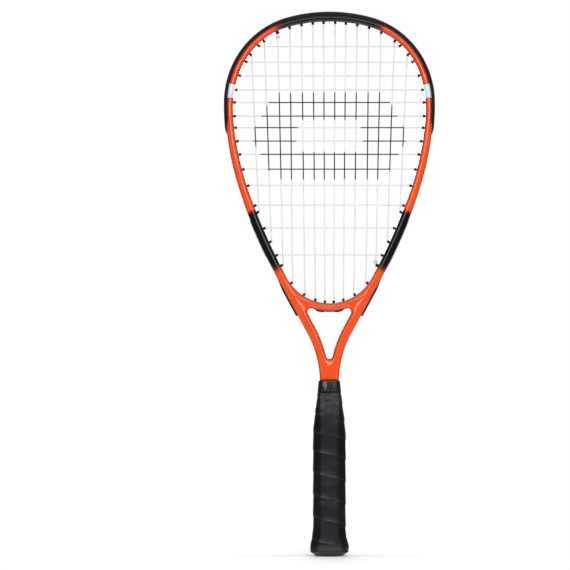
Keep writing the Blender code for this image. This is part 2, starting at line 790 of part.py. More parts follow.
def shaft_section(grow):
    return SHAFT_HALF + grow, BEAM_DEPTH / 2 + grow, 2.0


def core_rings(grow, top, bottom=GRIP_Z[0]):
    """Rings of what the tape is wound on: the cap's skirt and the pallets."""
    heights = [bottom] + [z for z in GRIP_Z if bottom < z < top] + [top]
    return [octagon(grip_section(z, TAPE + GAP - grow), z) for z in heights]


def shaft_channel(name):
    return loft(name, [octagon(shaft_section(GAP), z) for z in (-CLEAR, FAR)], CUTTERS)


def make_pallets():
    rings = [octagon(REBATE, z) for z in (SHAFT_BOTTOM, REBATE_TOP)]
    rings += core_rings(0.0, PALLET_TOP, REBATE_TOP)
    for side, word in HALVES:
        pallet = loft("handle_pallet_" + word, rings, PARTS, FOAM_PLAIN)
        cut(pallet, shaft_channel("shaft_channel_" + word))
        low, high = sorted((-side * FAR, side * GAP / 2))
        cut(pallet, boxes("parting_" + word, [((-FAR, low, -CLEAR), (FAR, high, FAR))], CUTTERS))
        for room in STAPLE_ROOMS:
            cut(pallet, room)
        if word == "back":
            cut(pallet, TACK_ROOM)


def make_butt_cap():
    foot = CAP_CHAMFER
    rings = [octagon(CAP_FOOT, 0.0), octagon(grip_section(foot), foot)]
    rings += core_rings(0.0, REBATE_TOP - GAP, foot)
    cap = loft("butt_cap", rings, PARTS, RUBBER_MATT)
    room = (REBATE[0] + GAP, REBATE[1] + GAP, REBATE[2] + GAP)
    cut(cap, loft("cap_room", [octagon(room, z) for z in (CAP_FLOOR, REBATE_TOP + CLEAR)], CUTTERS))
    for room in (*STAPLE_ROOMS, TACK_ROOM):
        cut(cap, room)


def staple(name, side, home, grow=0.0, crown_out=0.0):
    """Crown along Y with a leg at each end, pointing inwards."""
    low, high = STAPLE_Z - STAPLE_WIRE / 2 - grow, STAPLE_Z + STAPLE_WIRE / 2 + grow
    crown_in = STAPLE_CROWN_X - STAPLE_WIRE
    crown_ends = sorted((side * (crown_in - grow), side * (STAPLE_CROWN_X + crown_out)))
    half = STAPLE_HALF + grow
    shape = boxes(name, [((crown_ends[0], -half, low), (crown_ends[1], half, high))], home)
    legs = []
    for end in (-1, 1):
        across = sorted((end * (STAPLE_HALF - STAPLE_WIRE - grow), end * half))
        along = sorted((side * (STAPLE_TIP_X - grow), side * (crown_in + 0.2)))
        legs.append(((along[0], across[0], low), (along[1], across[1], high)))
    cut(shape, boxes(name + "_legs", legs, CUTTERS), "UNION")
    return shape


def tack(name, home, grow=0.0, head_out=0.0):
    """Head and shank, driven in from the back."""
    head = grip_section(TACK_Z)[1] - 0.1
    neck = head - TACK_HEAD_THICK
    disc = ((0.0, neck - grow, TACK_Z), (0.0, head + head_out, TACK_Z), TACK_HEAD + 2 * grow)
    shank = ((0.0, TACK_TIP - grow, TACK_Z), (0.0, neck + 0.2, TACK_Z), TACK_SHANK + 2 * grow)
    shape = rods(name, [disc], home, 12)
    cut(shape, rods(name + "_shank", [shank], CUTTERS, 12), "UNION")
    return shape


def make_fasteners():
    for side, word in SIDES:
        staple("butt_cap_staple_" + word, side, PARTS).data.materials.append(STEEL_BRIGHT)
    tack("grip_start_tack", PARTS).data.materials.append(STEEL_BRIGHT)


def wrapped_surface():
    """Outer surface of the wound tape: each turn's lower edge lies over the turn below it."""
    turns = math.ceil(TAPE_TOP / WRAP_PITCH) + 3
    shape = bmesh.new()
    rows = []
    for i in range(turns * WRAP_AROUND + 1):
        seam = WRAP_SEAM_Z + WRAP_PITCH * (i / WRAP_AROUND - 2)
        row = []
        for up, swell in WRAP_SECTION:
            z = seam + up
            ring = octagon(grip_section(z, -WRAP_STEP * swell), z)
            corner = (-i // 2) % 8
            point = np.array(ring[corner])
            if i % 2:
                point = (point + np.array(ring[(corner + 1) % 8])) / 2
            row.append(shape.verts.new(Vector(point) * MM))
        rows.append(row)
    for low, high in zip(rows, rows[1:]):
        for j in range(len(WRAP_SECTION) - 1):
            shape.faces.new((low[j], high[j], high[j + 1], low[j + 1]))
    for i in range(len(rows) - WRAP_AROUND - 1):
        low, high = rows[i], rows[i + 1]
        low_over, high_over = rows[i + WRAP_AROUND], rows[i + WRAP_AROUND + 1]
        shape.faces.new((low[-1], high[-1], high_over[0], low_over[0]))
    rim = [edge for edge in shape.edges if edge.is_boundary]
    bmesh.ops.holes_fill(shape, edges=rim)
    return shape


def make_tape():
    tape = from_bmesh("base_grip_tape", wrapped_surface(), PARTS, TAPE_MATT)
    bottom = CAP_CHAMFER + GAP
    slab = boxes("tape_length", [((-FAR, -FAR, bottom), (FAR, FAR, TAPE_TOP))], CUTTERS)
    cut(tape, slab, "INTERSECT")
    cut(tape, loft("tape_core", core_rings(GAP, PALLET_TOP + GAP, bottom - 1.0), CUTTERS))
    cut(tape, shaft_channel("tape_shaft"))
    cut(tape, TACK_ROOM)


def make_finishing_tape():
    rings = [octagon(BAND_FOOT, TAPE_TOP + GAP), octagon(BAND_HEAD, BAND_TOP)]
    band = loft("finishing_tape", rings, PARTS, BAND_GLOSS)
    cut(band, shaft_channel("band_shaft"))


clear_scene()
PARTS = collection("ricochet_racket")
CUTTERS = collection("cutters")
PAINT_GLOSS = material("orange_lacquer", PAINT, 0.18)
NYLON_MATT = material("black_nylon", NYLON, 0.55)
STRING_GLOSS = material("white_string", STRING_WHITE, 0.30)
TAPE_MATT = material("grip_tape", TAPE_BLACK, 0.75)
BAND_GLOSS = material("finishing_tape", GLOSS_BLACK, 0.20)
RUBBER_MATT = material("butt_rubber", RUBBER, 0.65)
FOAM_PLAIN = material("handle_foam", FOAM, 0.80)
STEEL_BRIGHT = material("staple_steel", STEEL, 0.30, 1.0)
STAPLE_ROOMS = [staple("staple_room_" + word, side, CUTTERS, GAP, 3.0) for side, word in SIDES]
TACK_ROOM = tack("tack_room", CUTTERS, GAP, 6.0)

make_frame()
make_strips()
make_bridge_strip()
make_string()
make_pallets()
make_butt_cap()
make_fasteners()
make_tape()
make_finishing_tape()
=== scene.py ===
"""Ricochet racket, finished: lacquered frame, grommet strips, woven string, wound grip, and its stage.

Sizes are millimetres unless a comment says otherwise, in the racket's own frame: X runs across the head, Y
through its depth with the front at -Y, and Z up from the butt. MM turns them into metres when a mesh is made.
"""

import math

import bmesh
import bpy
import numpy as np
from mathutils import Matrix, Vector


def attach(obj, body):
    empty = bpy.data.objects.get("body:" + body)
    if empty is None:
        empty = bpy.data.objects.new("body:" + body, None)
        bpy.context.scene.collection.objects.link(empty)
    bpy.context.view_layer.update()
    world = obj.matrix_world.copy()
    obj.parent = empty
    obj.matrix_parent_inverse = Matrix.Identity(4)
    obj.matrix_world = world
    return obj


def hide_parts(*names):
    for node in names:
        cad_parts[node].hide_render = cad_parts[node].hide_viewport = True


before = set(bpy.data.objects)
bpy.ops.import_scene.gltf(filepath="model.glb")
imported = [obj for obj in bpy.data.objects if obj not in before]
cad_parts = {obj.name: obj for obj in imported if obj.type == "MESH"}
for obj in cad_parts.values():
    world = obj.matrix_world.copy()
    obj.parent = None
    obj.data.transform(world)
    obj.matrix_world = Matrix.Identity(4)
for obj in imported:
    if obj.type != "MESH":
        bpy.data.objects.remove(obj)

bl_info = {
    "name": "Ricochet Racket",
    "version": (1, 0, 0),
    "blender": (4, 5, 0),
    "location": "View3D > Sidebar > Racket",
    "description": "Builds the surfaces of a strung ricochet racket and the stage it stands on",
    "category": "Add Mesh",
}

MM = 0.001
TINY = 1e-6
LEFT, RIGHT, DOWN, UP = np.array([(-1.0, 0.0), (1.0, 0.0), (0.0, -1.0), (0.0, 1.0)])
ACROSS, DEEP, UPWARD = np.eye(3)
SIDES = ((-1, "left"), (1, "right"))
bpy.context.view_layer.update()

LENGTH = 575.0
GUARD_RISE = 1.7
HALF_DEPTH = 8.75

# Outlines of the frame and its two openings: radius and degrees of each arc, or a straight length.
OUTER_ARCS = ((166.0, -14.8), (89.6, -44.4), (94.4, -30.2), (275.6, -16.1), (502.6, -13.0))
SHOULDER_BEND = 107.4
SHAFT_HALF = 10.0
SHAFT_BOTTOM = 3.4
HEAD_TOP = 565.0
HEAD_ARCS = ((168.0, -12.8), (81.0, -61.0), (116.0, -20.6), (313.0, -15.8), (685.0, -7.8))
THROAT_TOP = 258.7
THROAT_SIDES = ((60.0, 17.6), (3.9, -135.9), (16.0,), (122.0, 15.5))
OUTLINE_STEP = 0.1

# Front of the frame: a soft ridge from which two facets fall to the rounded edges.
RIDGE_SOFT = 1.1
RIDGE_INSET = 3.7
BRIDGE_INSET = 3.5
RIDGE_PARTS_Z = 219.0
RIDGES_MEET_Z = 193.5
RIDGES_SLOPE = 2.4
FACET_FALL = 1.2
OUTER_ROUND = 2.3
GUARD_ROUND = 3.4
GUARD_ROUND_SHORT = 4.0
GUARD_ROUND_EASE = 14.0
INNER_ROUND = 2.0
SHAFT_FLAT = 5.5
FLAT_BLEND = 3.0
LEAST_DISTANCE = 0.01

# Points that the ridges pass, how far short of them the stretches along an edge stop, and how fine these are.
ARM_RIDGE = ((53.5, 303.0), (35.5, 271.2), (17.5, 239.5))
BRIDGE_RIDGE = ((38.3, 276.3), (31.0, 272.3), (23.5, 269.5))
HOOP_SHORT = 6.0
THROAT_SHORT = 8.0
BRIDGE_SHORT = 4.0
HOOP_RIDGE_STEP = 2.0
THROAT_RIDGE_POINTS = 10
BRIDGE_RIDGE_POINTS = 8
RIDGE_STEPS = 4

# Ribs across the frame: how far apart they are in sight and hidden, and how many points each has.
RIB_STEP = 1.25
HIDDEN_RIB_STEP = 8.0
SHAFT_SHOWS_TO = 184.0
ROUND_SAMPLES = 6
FACET_SAMPLES = 9
JUNCTION_FROM = 0.85
JUNCTION_SAMPLES = 1200

# Walls: where they are sampled at the channel's side, and the share of its depth at each line from the edge.
CHANNEL_SIDE_SAMPLES = (0.25, 0.0, -0.05, -0.25)
WALL_DIPS = (0.0, 0.0, 0.0, 0.06, 0.92, 1.0, 1.0)
# WALL_INSET_RISE sets how fast the painted edge shade clears up a wall, and FAR_FROM_RIM is the rim distance
# given where no rim shade is painted.
WALL_INSET_RISE = 3.5
FAR_FROM_RIM = 12.0

# Channel round the outer edge and under the bridge, and how far the strips in it reach.
CHANNEL_DEPTH = 3.0
CHANNEL_HALF = 3.2
BRIDGE_CHANNEL_DEPTH = 2.4
BRIDGE_HALF_SPAN = 16.5
BRIDGE_CHANNEL_GAP = 0.3
BRIDGE_ROOF_RUN = 20.0
GUARD_END_Z = 446.0
SIDE_STRIP_END_Z = 299.0
LOWER_STRIP_END_Z = 254.0

# Barrel: distance along its axis from the tip, and radius, from inside the bore over the lip into the frame.
BARREL_PROFILE = (
    (7.0, 0.80), (0.9, 0.80), (0.35, 0.92), (0.08, 1.10), (0.0, 1.28), (0.10, 1.45),
    (0.35, 1.52), (0.9, 1.46), (1.5, 1.34), (2.4, 1.32), (7.0, 1.32),
)
BARREL_STAND = 2.6
BARREL_SIDES = 20
TIE_WIDER = 0.45

# Collar round the hole in a strip's floor: radius and height over the floor.
COLLAR_PROFILE = ((0.75, -0.20), (0.85, 0.12), (1.05, 0.28), (1.3, 0.30), (1.5, 0.20), (1.6, -0.10))

# Slots of the guard, and where the guard is sampled along each and, as shares, between two of them.
SLOT_PITCH = 14.7
SLOT_LENGTH = 10.5
SLOT_WIDTH = 2.2
SLOT_OFFSET = 4.5
SLOT_END_SHARE = 0.5
SLOT_POWER = 12
SLOT_SAMPLES = (-1.0, -0.97, -0.9, -0.78, -0.4, 0.0, 0.4, 0.78, 0.9, 0.97, 1.0)
LAND_SAMPLES = (0.2, 0.5, 0.8)
GUARD_END_SAMPLES = 14

# Half of the guard's section as (rise, depth), from the middle of its floor over the land and round the lip
# to the middle of its underside. The slot lines are a slot's two sides in it, outside and inside.
GUARD_HALF = np.array([
    (-2.0, 0.0), (-2.0, 1.9), (-1.85, 2.15), (-1.6, 2.2), (1.45, 2.2), (1.64, 2.28), (1.7, 2.5),
    (1.7, SLOT_OFFSET), (1.7, SLOT_OFFSET), (1.7, 5.8), (1.6, 6.4), (1.3, 7.2), (0.85, 7.9), (0.25, 8.4),
    (-0.9, 8.82), (-1.6, 8.84), (-1.95, 8.6), (-2.0, 7.2), (-0.9, 6.6), (-0.08, 6.1), (0.06, 5.75),
    (0.08, SLOT_OFFSET), (0.08, SLOT_OFFSET), (0.06, 3.3), (-0.05, 3.02), (-0.3, 2.9), (-2.5, 2.9),
    (-2.66, 2.82), (-2.7, 2.6), (-2.7, 0.0),
])
SLOT_LINES = (7, 8, 21, 22)
SLOT_SIDES = (-1.0, 1.0, 1.0, -1.0)
GUARD_LIP_FROM = 6.0
GUARD_THINS_FROM = 0.1
GUARD_TAPER = 16.0
GUARD_TIP = 6.0
GUARD_TIP_HALF = 2.95
GUARD_TIP_SHARE = 0.3
GUARD_TIP_LEFT = 0.04

# Half of a strip's section as (rise, depth, share of the lip's rise), from its floor round the lip.
STRIP_BOTTOM = -2.7
STRIP_FLOOR = 0.7
FLOOR_RISE = STRIP_BOTTOM + STRIP_FLOOR
STRIP_SECTION = np.array([
    (FLOOR_RISE, 0.0, 0.0), (FLOOR_RISE, 1.95, 0.0), (FLOOR_RISE + 0.1, 2.15, 0.0),
    (FLOOR_RISE + 0.35, 2.2, 0.0), (-0.25, 2.2, 1.0), (-0.06, 2.28, 1.0), (0.0, 2.45, 1.0),
    (0.0, 2.68, 1.0), (-0.07, 2.83, 1.0), (-0.25, 2.9, 1.0), (STRIP_BOTTOM + 0.3, 2.9, 0.0),
    (STRIP_BOTTOM + 0.08, 2.82, 0.0), (STRIP_BOTTOM, 2.6, 0.0), (STRIP_BOTTOM, 0.0, 0.0),
])
FLOOR_POINTS = 5
STRIP_HALF = 2.9
STRIP_GAP = 0.6
STRIP_STEP = 1.5
STRIP_END_SHARE = 0.25
STRIP_END_SAMPLES = 7
STRIP_CLOSED = 4.2
CLOSED_BLEND = 0.8
LOWER_STRIP_RISE = 1.8
LIP_RISES_FROM = 2.0
LIP_RISES_OVER = 20.0

# Strip under the bridge: its lips, the two pads where they hang lower, and its ends.
BRIDGE_LIP = 0.9
PAD_LIP = 1.7
PAD_X = 9.6
PAD_HALF_TOP = 2.6
PAD_HALF_FOOT = 5.0
BRIDGE_STEP = 0.6
BRIDGE_END_ROUND = 2.0
BRIDGE_END_WIDTH = 0.6
BRIDGE_END_LIP = 0.2
BRIDGE_END_FADE = 3.0
UNDER_ROOF = 5.0

# String: where the mains leave the top and bottom of the head, and the heights of the crosses.
MAINS_TOP = (6.1, 17.4, 29.3, 41.7, 54.5, 68.5, 82.2)
MAINS_BOTTOM = (4.7, 14.8, 26.0, 38.9, 49.0, 61.2, 74.5)
CROSSES = (538.4, 521.8, 507.4, 492.5, 479.3, 464.9, 452.7, 438.5, 424.5, 408.8, 391.6, 370.7, 346.7, 318.2)
BRIDGE_MAINS = 2
WEAVE = 0.7
WEAVE_Z = 405.0
LEAN = 0.75
LOWER_LEANS = (0.0, 0.0, 1.0, 1.0, 1.2, LEAN, LEAN)
MOUTH = 0.6
BORE_SIDE = 0.3
STRAIGHT_TO = 1.6

# Loops of the string in the channel.
LANE = 1.4
LOOP_RISE = 1.9 - CHANNEL_DEPTH
BRIDGE_LOOP_RISE = 1.9 - BRIDGE_CHANNEL_DEPTH
OVER_LAYER = 1.55
LOOP_BEND = 0.9
LOOP_START = 3.0
LOOP_STEP = 12.0
LOOP_COMES_UP = 1.0

# Knots at the string's two ends, in the holes of this main: right at the bottom and left at the top.
TIE_MAIN = 5
TIE_SIDE = 0.75
KNOT_TURNS = 1.75
KNOT_STEPS = 14
KNOT_START = 1.7
KNOT_PITCH = 1.7
KNOT_RADIUS = 1.75
KNOT_TIP_SHARE = 0.8

# How finely the string is made: its sides, and its steps on long and on short stretches of the route.
STRING_SIDES = 10
LONG_STRETCH = 4.0
LONG_STEP = 2.4
SHORT_STEP = 0.55

# Grip: half width, half depth and corner cut of the tape's outer surface at each height.
GRIP_Z = (5.3, 12.0, 20.0, 29.0, 130.0, 147.0, 164.0, 173.0)
GRIP_HALF_WIDTH = (20.4, 20.1, 18.0, 17.1, 17.1, 15.5, 13.3, 12.2)
GRIP_HALF_DEPTH = (18.2, 17.9, 15.6, 14.1, 14.1, 12.9, 11.6, 10.9)
GRIP_CORNER = (8.4, 8.4, 8.4, 8.4, 8.4, 6.5, 4.0, 3.4)
GRIP_ROUNDING = 2.6
GRIP_MIDDLE_Z = 60.0
TAPE_BOTTOM = 5.3
TAPE_TOP = 173.0
TAPE_THICKNESS = 1.2
TAPE_END_ROUND = 1.0
TAPE_END_DRAWN = 0.7

# Front seam heights of the wound tape by turn. From one seam up to the next, at shares of a turn: how much
# the tape swells and how worn it is.
WOUND_TURNS = range(-1, 9)
SEAM_TURNS = (-2.0, -1.0, 0.0, 1.0, 2.0, 3.0, 4.0, 5.0, 6.0, 7.0, 8.0, 9.0)
SEAM_HEIGHTS = (-36.0, -11.0, 13.0, 36.5, 60.0, 83.5, 107.5, 127.0, 147.5, 165.0, 182.0, 199.0)
SEAM_PROFILE = (
    (0.0, -0.22, 0.0), (0.004, 0.16, 0.4), (0.012, 0.30, 1.0), (0.035, 0.36, 1.0), (0.09, 0.32, 0.55),
    (0.2, 0.22, 0.2), (0.34, 0.10, 0.0), (0.5, 0.02, 0.0), (0.66, -0.06, 0.0), (0.8, -0.13, 0.0),
    (0.9, -0.18, 0.0), (0.97, -0.22, 0.0),
)
FACET_BLEND = 1.2

# Band: height, half width, half depth, and how much of its tilt a row takes. Folds: place, width and rise.
BAND_ROWS = (
    (173.6, 10.2, 9.0, 0.0), (172.9, 11.4, 10.2, 0.0), (172.7, 12.1, 10.75, 0.0),
    (172.9, 12.35, 11.0, 0.1), (173.6, 12.3, 11.02, 0.3), (174.8, 12.18, 11.01, 0.8),
    (175.9, 12.06, 10.99, 1.0), (177.0, 11.95, 10.97, 1.0), (178.1, 11.83, 10.95, 1.0),
    (179.2, 11.72, 10.93, 1.0), (180.3, 11.62, 10.91, 1.0), (181.4, 11.51, 10.89, 1.0),
    (182.5, 11.4, 10.87, 0.9), (183.6, 11.29, 10.85, 0.7), (184.6, 11.19, 10.83, 0.4),
    (185.3, 11.12, 10.81, 0.1), (185.4, 11.04, 10.73, 0.1), (185.4, 10.5, 9.9, 0.1),
    (185.2, 10.15, 8.95, 0.0),
)
BAND_CORNER = 3.2
BAND_ROUNDING = 1.8
BAND_ARC = 5
BAND_FLAT = 14
BAND_TILT = 0.9
FOLDS = ((-4.7, 1.6, 0.6), (4.9, 1.4, 0.2))
FOLD_TOP = 184.6
FOLD_LENGTH = 11.0
BAND_FRONT = -7.0

# Butt cap: height, half width, half depth and corner cut, from the panel in its foot to the top of its skirt.
CAP_ROWS = (
    (0.7, 0.02, 0.02, 0.01), (0.7, 8.0, 6.4, 3.4), (0.55, 8.3, 6.7, 3.5), (0.06, 8.5, 6.9, 3.6),
    (0.0, 8.9, 7.3, 3.8), (0.0, 12.4, 10.4, 5.2), (0.12, 13.2, 11.2, 5.5), (0.7, 14.2, 12.2, 5.9),
    (4.1, 19.3, 17.2, 8.1), (4.8, 20.1, 17.9, 8.4), (5.15, 20.0, 17.8, 8.4), (5.2, 18.6, 16.4, 7.8),
    (24.0, 15.0, 12.0, 7.0), (24.0, 0.02, 0.02, 0.01),
)
CAP_ROUNDING = 2.2
CAP_ROUNDING_SHARE = 0.12

# Tack: distance in from its crown, and radius.
TACK_PROFILE = (
    (0.0, 0.001), (0.02, 0.7), (0.08, 1.25), (0.2, 1.7), (0.38, 2.0), (0.55, 2.08), (0.7, 1.95), (0.8, 1.2),
    (0.85, 0.72), (7.4, 0.7), (8.5, 0.001),
)
TACK_CROWN = np.array([0.0, 18.28, 9.0])

# Paint: how far out the top is black, the heights between which the flanks are black and the block is white,
# and how softly these end, in distance round the outer edge.
BLACK_TOP_X = 56.0
BLACK_FLANK_Z = (362.0, 301.5)
WHITE_BLOCK_Z = (499.6, 484.2)
SPRAY_WANDER = 1.2
TOP_FADE = 11.0
FLANK_FADES = (3.5, 7.0)
BLOCK_LINE = 0.8
BLOCK_EDGE = 0.1
TO_MAROON = (0.0, 0.6)
TO_BLACK = (0.5, 1.0)

# Painted shade in maroon, from clear to full by distance: from an edge, and from the rim beside the guard.
EDGE_PAINTED_SHADE = (2.2, 0.4)
EDGE_SHARE = 0.72
RIM_PAINTED_SHADE = (4.4, 1.6)
RIM_SHARE = 0.7
RIM_PAINTED_SHADE_ENDS = (6.0, -20.0)
# Painted shadow on the shaft under the band, from clear to full by height.
BAND_PAINTED_SHADOW_Z = (187.4, 186.2)

# Motif on the strings: half width and half height of its outer and inner hexagon.
INK_CENTRE = 444.0
INK_OUTER = (84.0, 46.0)
INK_INNER = (38.0, 17.0)
INK_SOFT = 0.8
INK_RAGGED = 1.5
HEX_SLANT = 0.55

# Wear of the tape, from little to full: by X to its left side, and by height to its top and to its butt.
WORN_LEFT = (8.0, -4.0)
WORN_LEFT_SHARES = (0.3, 1.0)
WORN_TOP = (140.0, 162.0)
WORN_BUTT = (14.0, 7.0)
BUTT_SHARE = 0.34
SMUDGE_SHARE = 0.18
# Painted shade: share of the tape's colour left on its slanted sides, standing in for the light falling off
# there.
SLANT_PAINTED_SHADE = 0.27

# Picture: its width at the racket, and the point of the racket's plane in its middle.
PICTURE_WIDTH = 602.8
PICTURE_X = -46.9
PICTURE_Z = 286.3
SENSOR = 36.0
CLIP_METRES = 100.0

# Floor: radii of its rings, and the radii in metres between which it fades to white.
FLOOR_RINGS = (0.001, 60.0, 200.0, 400.0, 700.0)
FLOOR_SIDES = 96
FLOOR_FADE = (0.03, 0.17)

# Room: the slopes between which its light and its reflections grow, from level at 0 to upright at 1.
LIGHT_FADE = (-0.1, 0.3)
MIRROR_FADE = (0.3, 0.8)
DIM_HORIZON = 0.1
WHITE = (1.0, 1.0, 1.0, 1.0)

# Lamps, in metres: place, width and height, the setting with their power, and whether the lacquer shows them.
LAMP_TARGET = Vector((0.0, 0.0, 0.32))
LAMPS = (
    ("front_diffuser", (0.26, -2.90, 1.10), (1.6, 1.2), "key", False),
    ("front_softbox", (0.13, -3.46, 0.77), (2.3, 0.72), "softbox", True),
    ("back_diffuser", (-0.26, 2.90, 1.10), (1.6, 1.2), "key", False),
    ("back_softbox", (-0.13, 3.46, 0.77), (2.3, 0.72), "softbox", True),
    ("left_diffuser", (-2.90, 0.0, 0.55), (1.0, 1.4), "side", False),
    ("right_diffuser", (2.90, 0.0, 0.55), (1.0, 1.4), "side", False),
)


def smooth(share):
    """Smooth step from 0 to 1: 3s^2 - 2s^3, with s held between 0 and 1."""
    share = np.clip(share, 0.0, 1.0)
    return share * share * (3.0 - 2.0 * share)


def quarter_round(share):
    """Quarter circle from 0 to 1: sqrt(1 - (1 - s)^2), with s held between 0 and 1."""
    return np.sqrt(1.0 - (1.0 - np.clip(share, 0.0, 1.0)) ** 2)


def unit(vectors):
    return vectors / np.linalg.norm(vectors, axis=-1, keepdims=True)


def hermite(points, counts):
    """Smooth curve through points, with a number of steps on each stretch.

    The slope at a point is the mean of the two chords' slopes, weighted by their lengths, so that a long
    stretch stays straight, and each stretch is the cubic that meets its ends with those slopes.
    """
    points = np.asarray(points, float)
    chords = np.diff(points, axis=0)
    lengths = np.linalg.norm(chords, axis=1)[:, None]
    slopes = chords / lengths
    inner = (slopes[1:] * lengths[1:] + slopes[:-1] * lengths[:-1]) / (lengths[1:] + lengths[:-1])
    ends = np.concatenate([slopes[:1], inner, slopes[-1:]])
    counts = np.broadcast_to(counts, len(chords))
    piece = np.repeat(np.arange(len(chords)), counts)
    first = np.repeat(np.cumsum(counts) - counts, counts)
    t = ((np.arange(len(piece)) - first) / counts[piece])[:, None]
    span = lengths[piece]
    curve = (2 * t**3 - 3 * t**2 + 1) * points[piece] + (t**3 - 2 * t**2 + t) * span * ends[piece]
    curve += (3 * t**2 - 2 * t**3) * points[piece + 1] + (t**3 - t**2) * span * ends[piece + 1]
    return np.concatenate([curve, points[-1:]])


class Outline:
    """Right half of a closed outline in the XZ plane, walked clockwise from the middle of its top.

    A run is the distance walked, and negative on the left half. A move is a straight length, or an arc's
    radius and the degrees it turns. At heading a on an arc of radius r round c, turning by side s, the point
    is c + s r (sin a, -cos a) and the normal is (-sin a, cos a).
    """

    def __init__(self, top, moves):
        x, z, heading = 0.0, top, 0.0
        places, headings = [np.array([[x, z]])], [np.zeros(1)]
        for move in moves:
            turn = math.radians(move[1]) if len(move) == 2 else 0.0
            length = move[0] * abs(turn) if turn else move[0]
            count = max(2, math.ceil(length / OUTLINE_STEP))
            share = np.arange(1, count + 1) / count
            ways = heading + turn * share
            if turn:
                reach = math.copysign(move[0], turn)
                across = np.sin(ways) - math.sin(heading)
                up = math.cos(heading) - np.cos(ways)
            else:
                reach = length
                across = share * math.cos(heading)
                up = share * math.sin(heading)
            spots = np.stack([x + reach * across, z + reach * up], axis=1)
            x, z = spots[-1]
            heading += turn
            places.append(spots)
            headings.append(ways)
        ways = np.concatenate(headings)
        self.heading = heading
        self.points = np.concatenate(places)
        self.normals = np.stack([-np.sin(ways), np.cos(ways)], axis=1)
        self.run = np.concatenate([[0.0], np.cumsum(np.hypot(*np.diff(self.points, axis=0).T))])
        self.length = self.run[-1]

    def read(self, run, pairs):
        """Points or normals at runs, mirrored on the left half."""
        run = np.asarray(run, float)
        x, z = (np.interp(np.abs(run), self.run, column) for column in pairs.T)
        return np.stack([np.where(run < 0, -1.0, 1.0) * x, z], axis=-1)

    def normal(self, run):
        return unit(self.read(run, self.normals))

    def at(self, run, rise=0.0):
        """Points at runs, moved out by rise."""
        return self.read(run, self.points) + np.asarray(rise)[..., None] * self.normal(run)

    def hit(self, start, along, rise=0.0):
        """Run at which a ray first crosses the outline, moved out by rise."""
        points = self.points + rise * self.normals
        aside = (points[:, 0] - start[0]) * along[1] - (points[:, 1] - start[1]) * along[0]
        before = np.flatnonzero((aside[:-1] * aside[1:] <= 0) & (aside[:-1] != aside[1:]))
        share = aside[before] / (aside[before] - aside[before + 1])
        spots = points[before] + share[:, None] * (points[before + 1] - points[before])
        ahead = (spots - start) @ along
        nearest = np.argmin(np.where(ahead > 0, ahead, np.inf))
        return np.interp(share[nearest], (0.0, 1.0), self.run[before[nearest]:before[nearest] + 2])

    def run_at_height(self, z):
        return np.interp(-z, -self.points[:, 1], self.run)

    def touching(self, runs, points):
        """Largest circles outside this outline that touch it at runs and also touch given points.

        Through q and touching at p, where n is the outline's normal at p, a circle has the radius
        |q - p|^2 / 2 n.(q - p), and the least of these is the one that only touches. Gives the centres, the
        radii and which points they touch.
        """
        start, outward = self.at(runs), self.normal(runs)
        away = points[None] - start[:, None]
        along = np.einsum("ijk,ik->ij", away, outward)
        radii = np.where(along > TINY, (away**2).sum(axis=2) / (2 * np.maximum(along, TINY)), np.inf)
        found = radii.argmin(axis=1)
        radius = radii[np.arange(len(found)), found]
        return start + radius[:, None] * outward, radius, found


def outer_edge():
    top = LENGTH - GUARD_RISE
    arcs = Outline(top, OUTER_ARCS)
    bend = -math.pi / 2 - arcs.heading
    arm = (SHAFT_HALF + SHOULDER_BEND * (1 - math.cos(bend)) - arcs.points[-1, 0]) / math.cos(arcs.heading)
    moves = OUTER_ARCS + ((arm,), (SHOULDER_BEND, math.degrees(bend)))
    shaft_top = Outline(top, moves).points[-1, 1]
    return Outline(top, moves + ((shaft_top - SHAFT_BOTTOM,),))


def closed_edge(top, moves):
    """Ends level on the centre line, by one last clockwise arc."""
    half = Outline(top, moves)
    radius = -half.points[-1, 0] / math.sin(half.heading)
    return Outline(top, moves + ((radius, -180.0 - math.degrees(half.heading)),))


OUTER = outer_edge()
HEAD = closed_edge(HEAD_TOP, HEAD_ARCS)
THROAT = closed_edge(THROAT_TOP, THROAT_SIDES)
GUARD_END = OUTER.run_at_height(GUARD_END_Z)
SIDE_END = OUTER.run_at_height(SIDE_STRIP_END_Z)
LOWER_END = OUTER.run_at_height(LOWER_STRIP_END_Z)


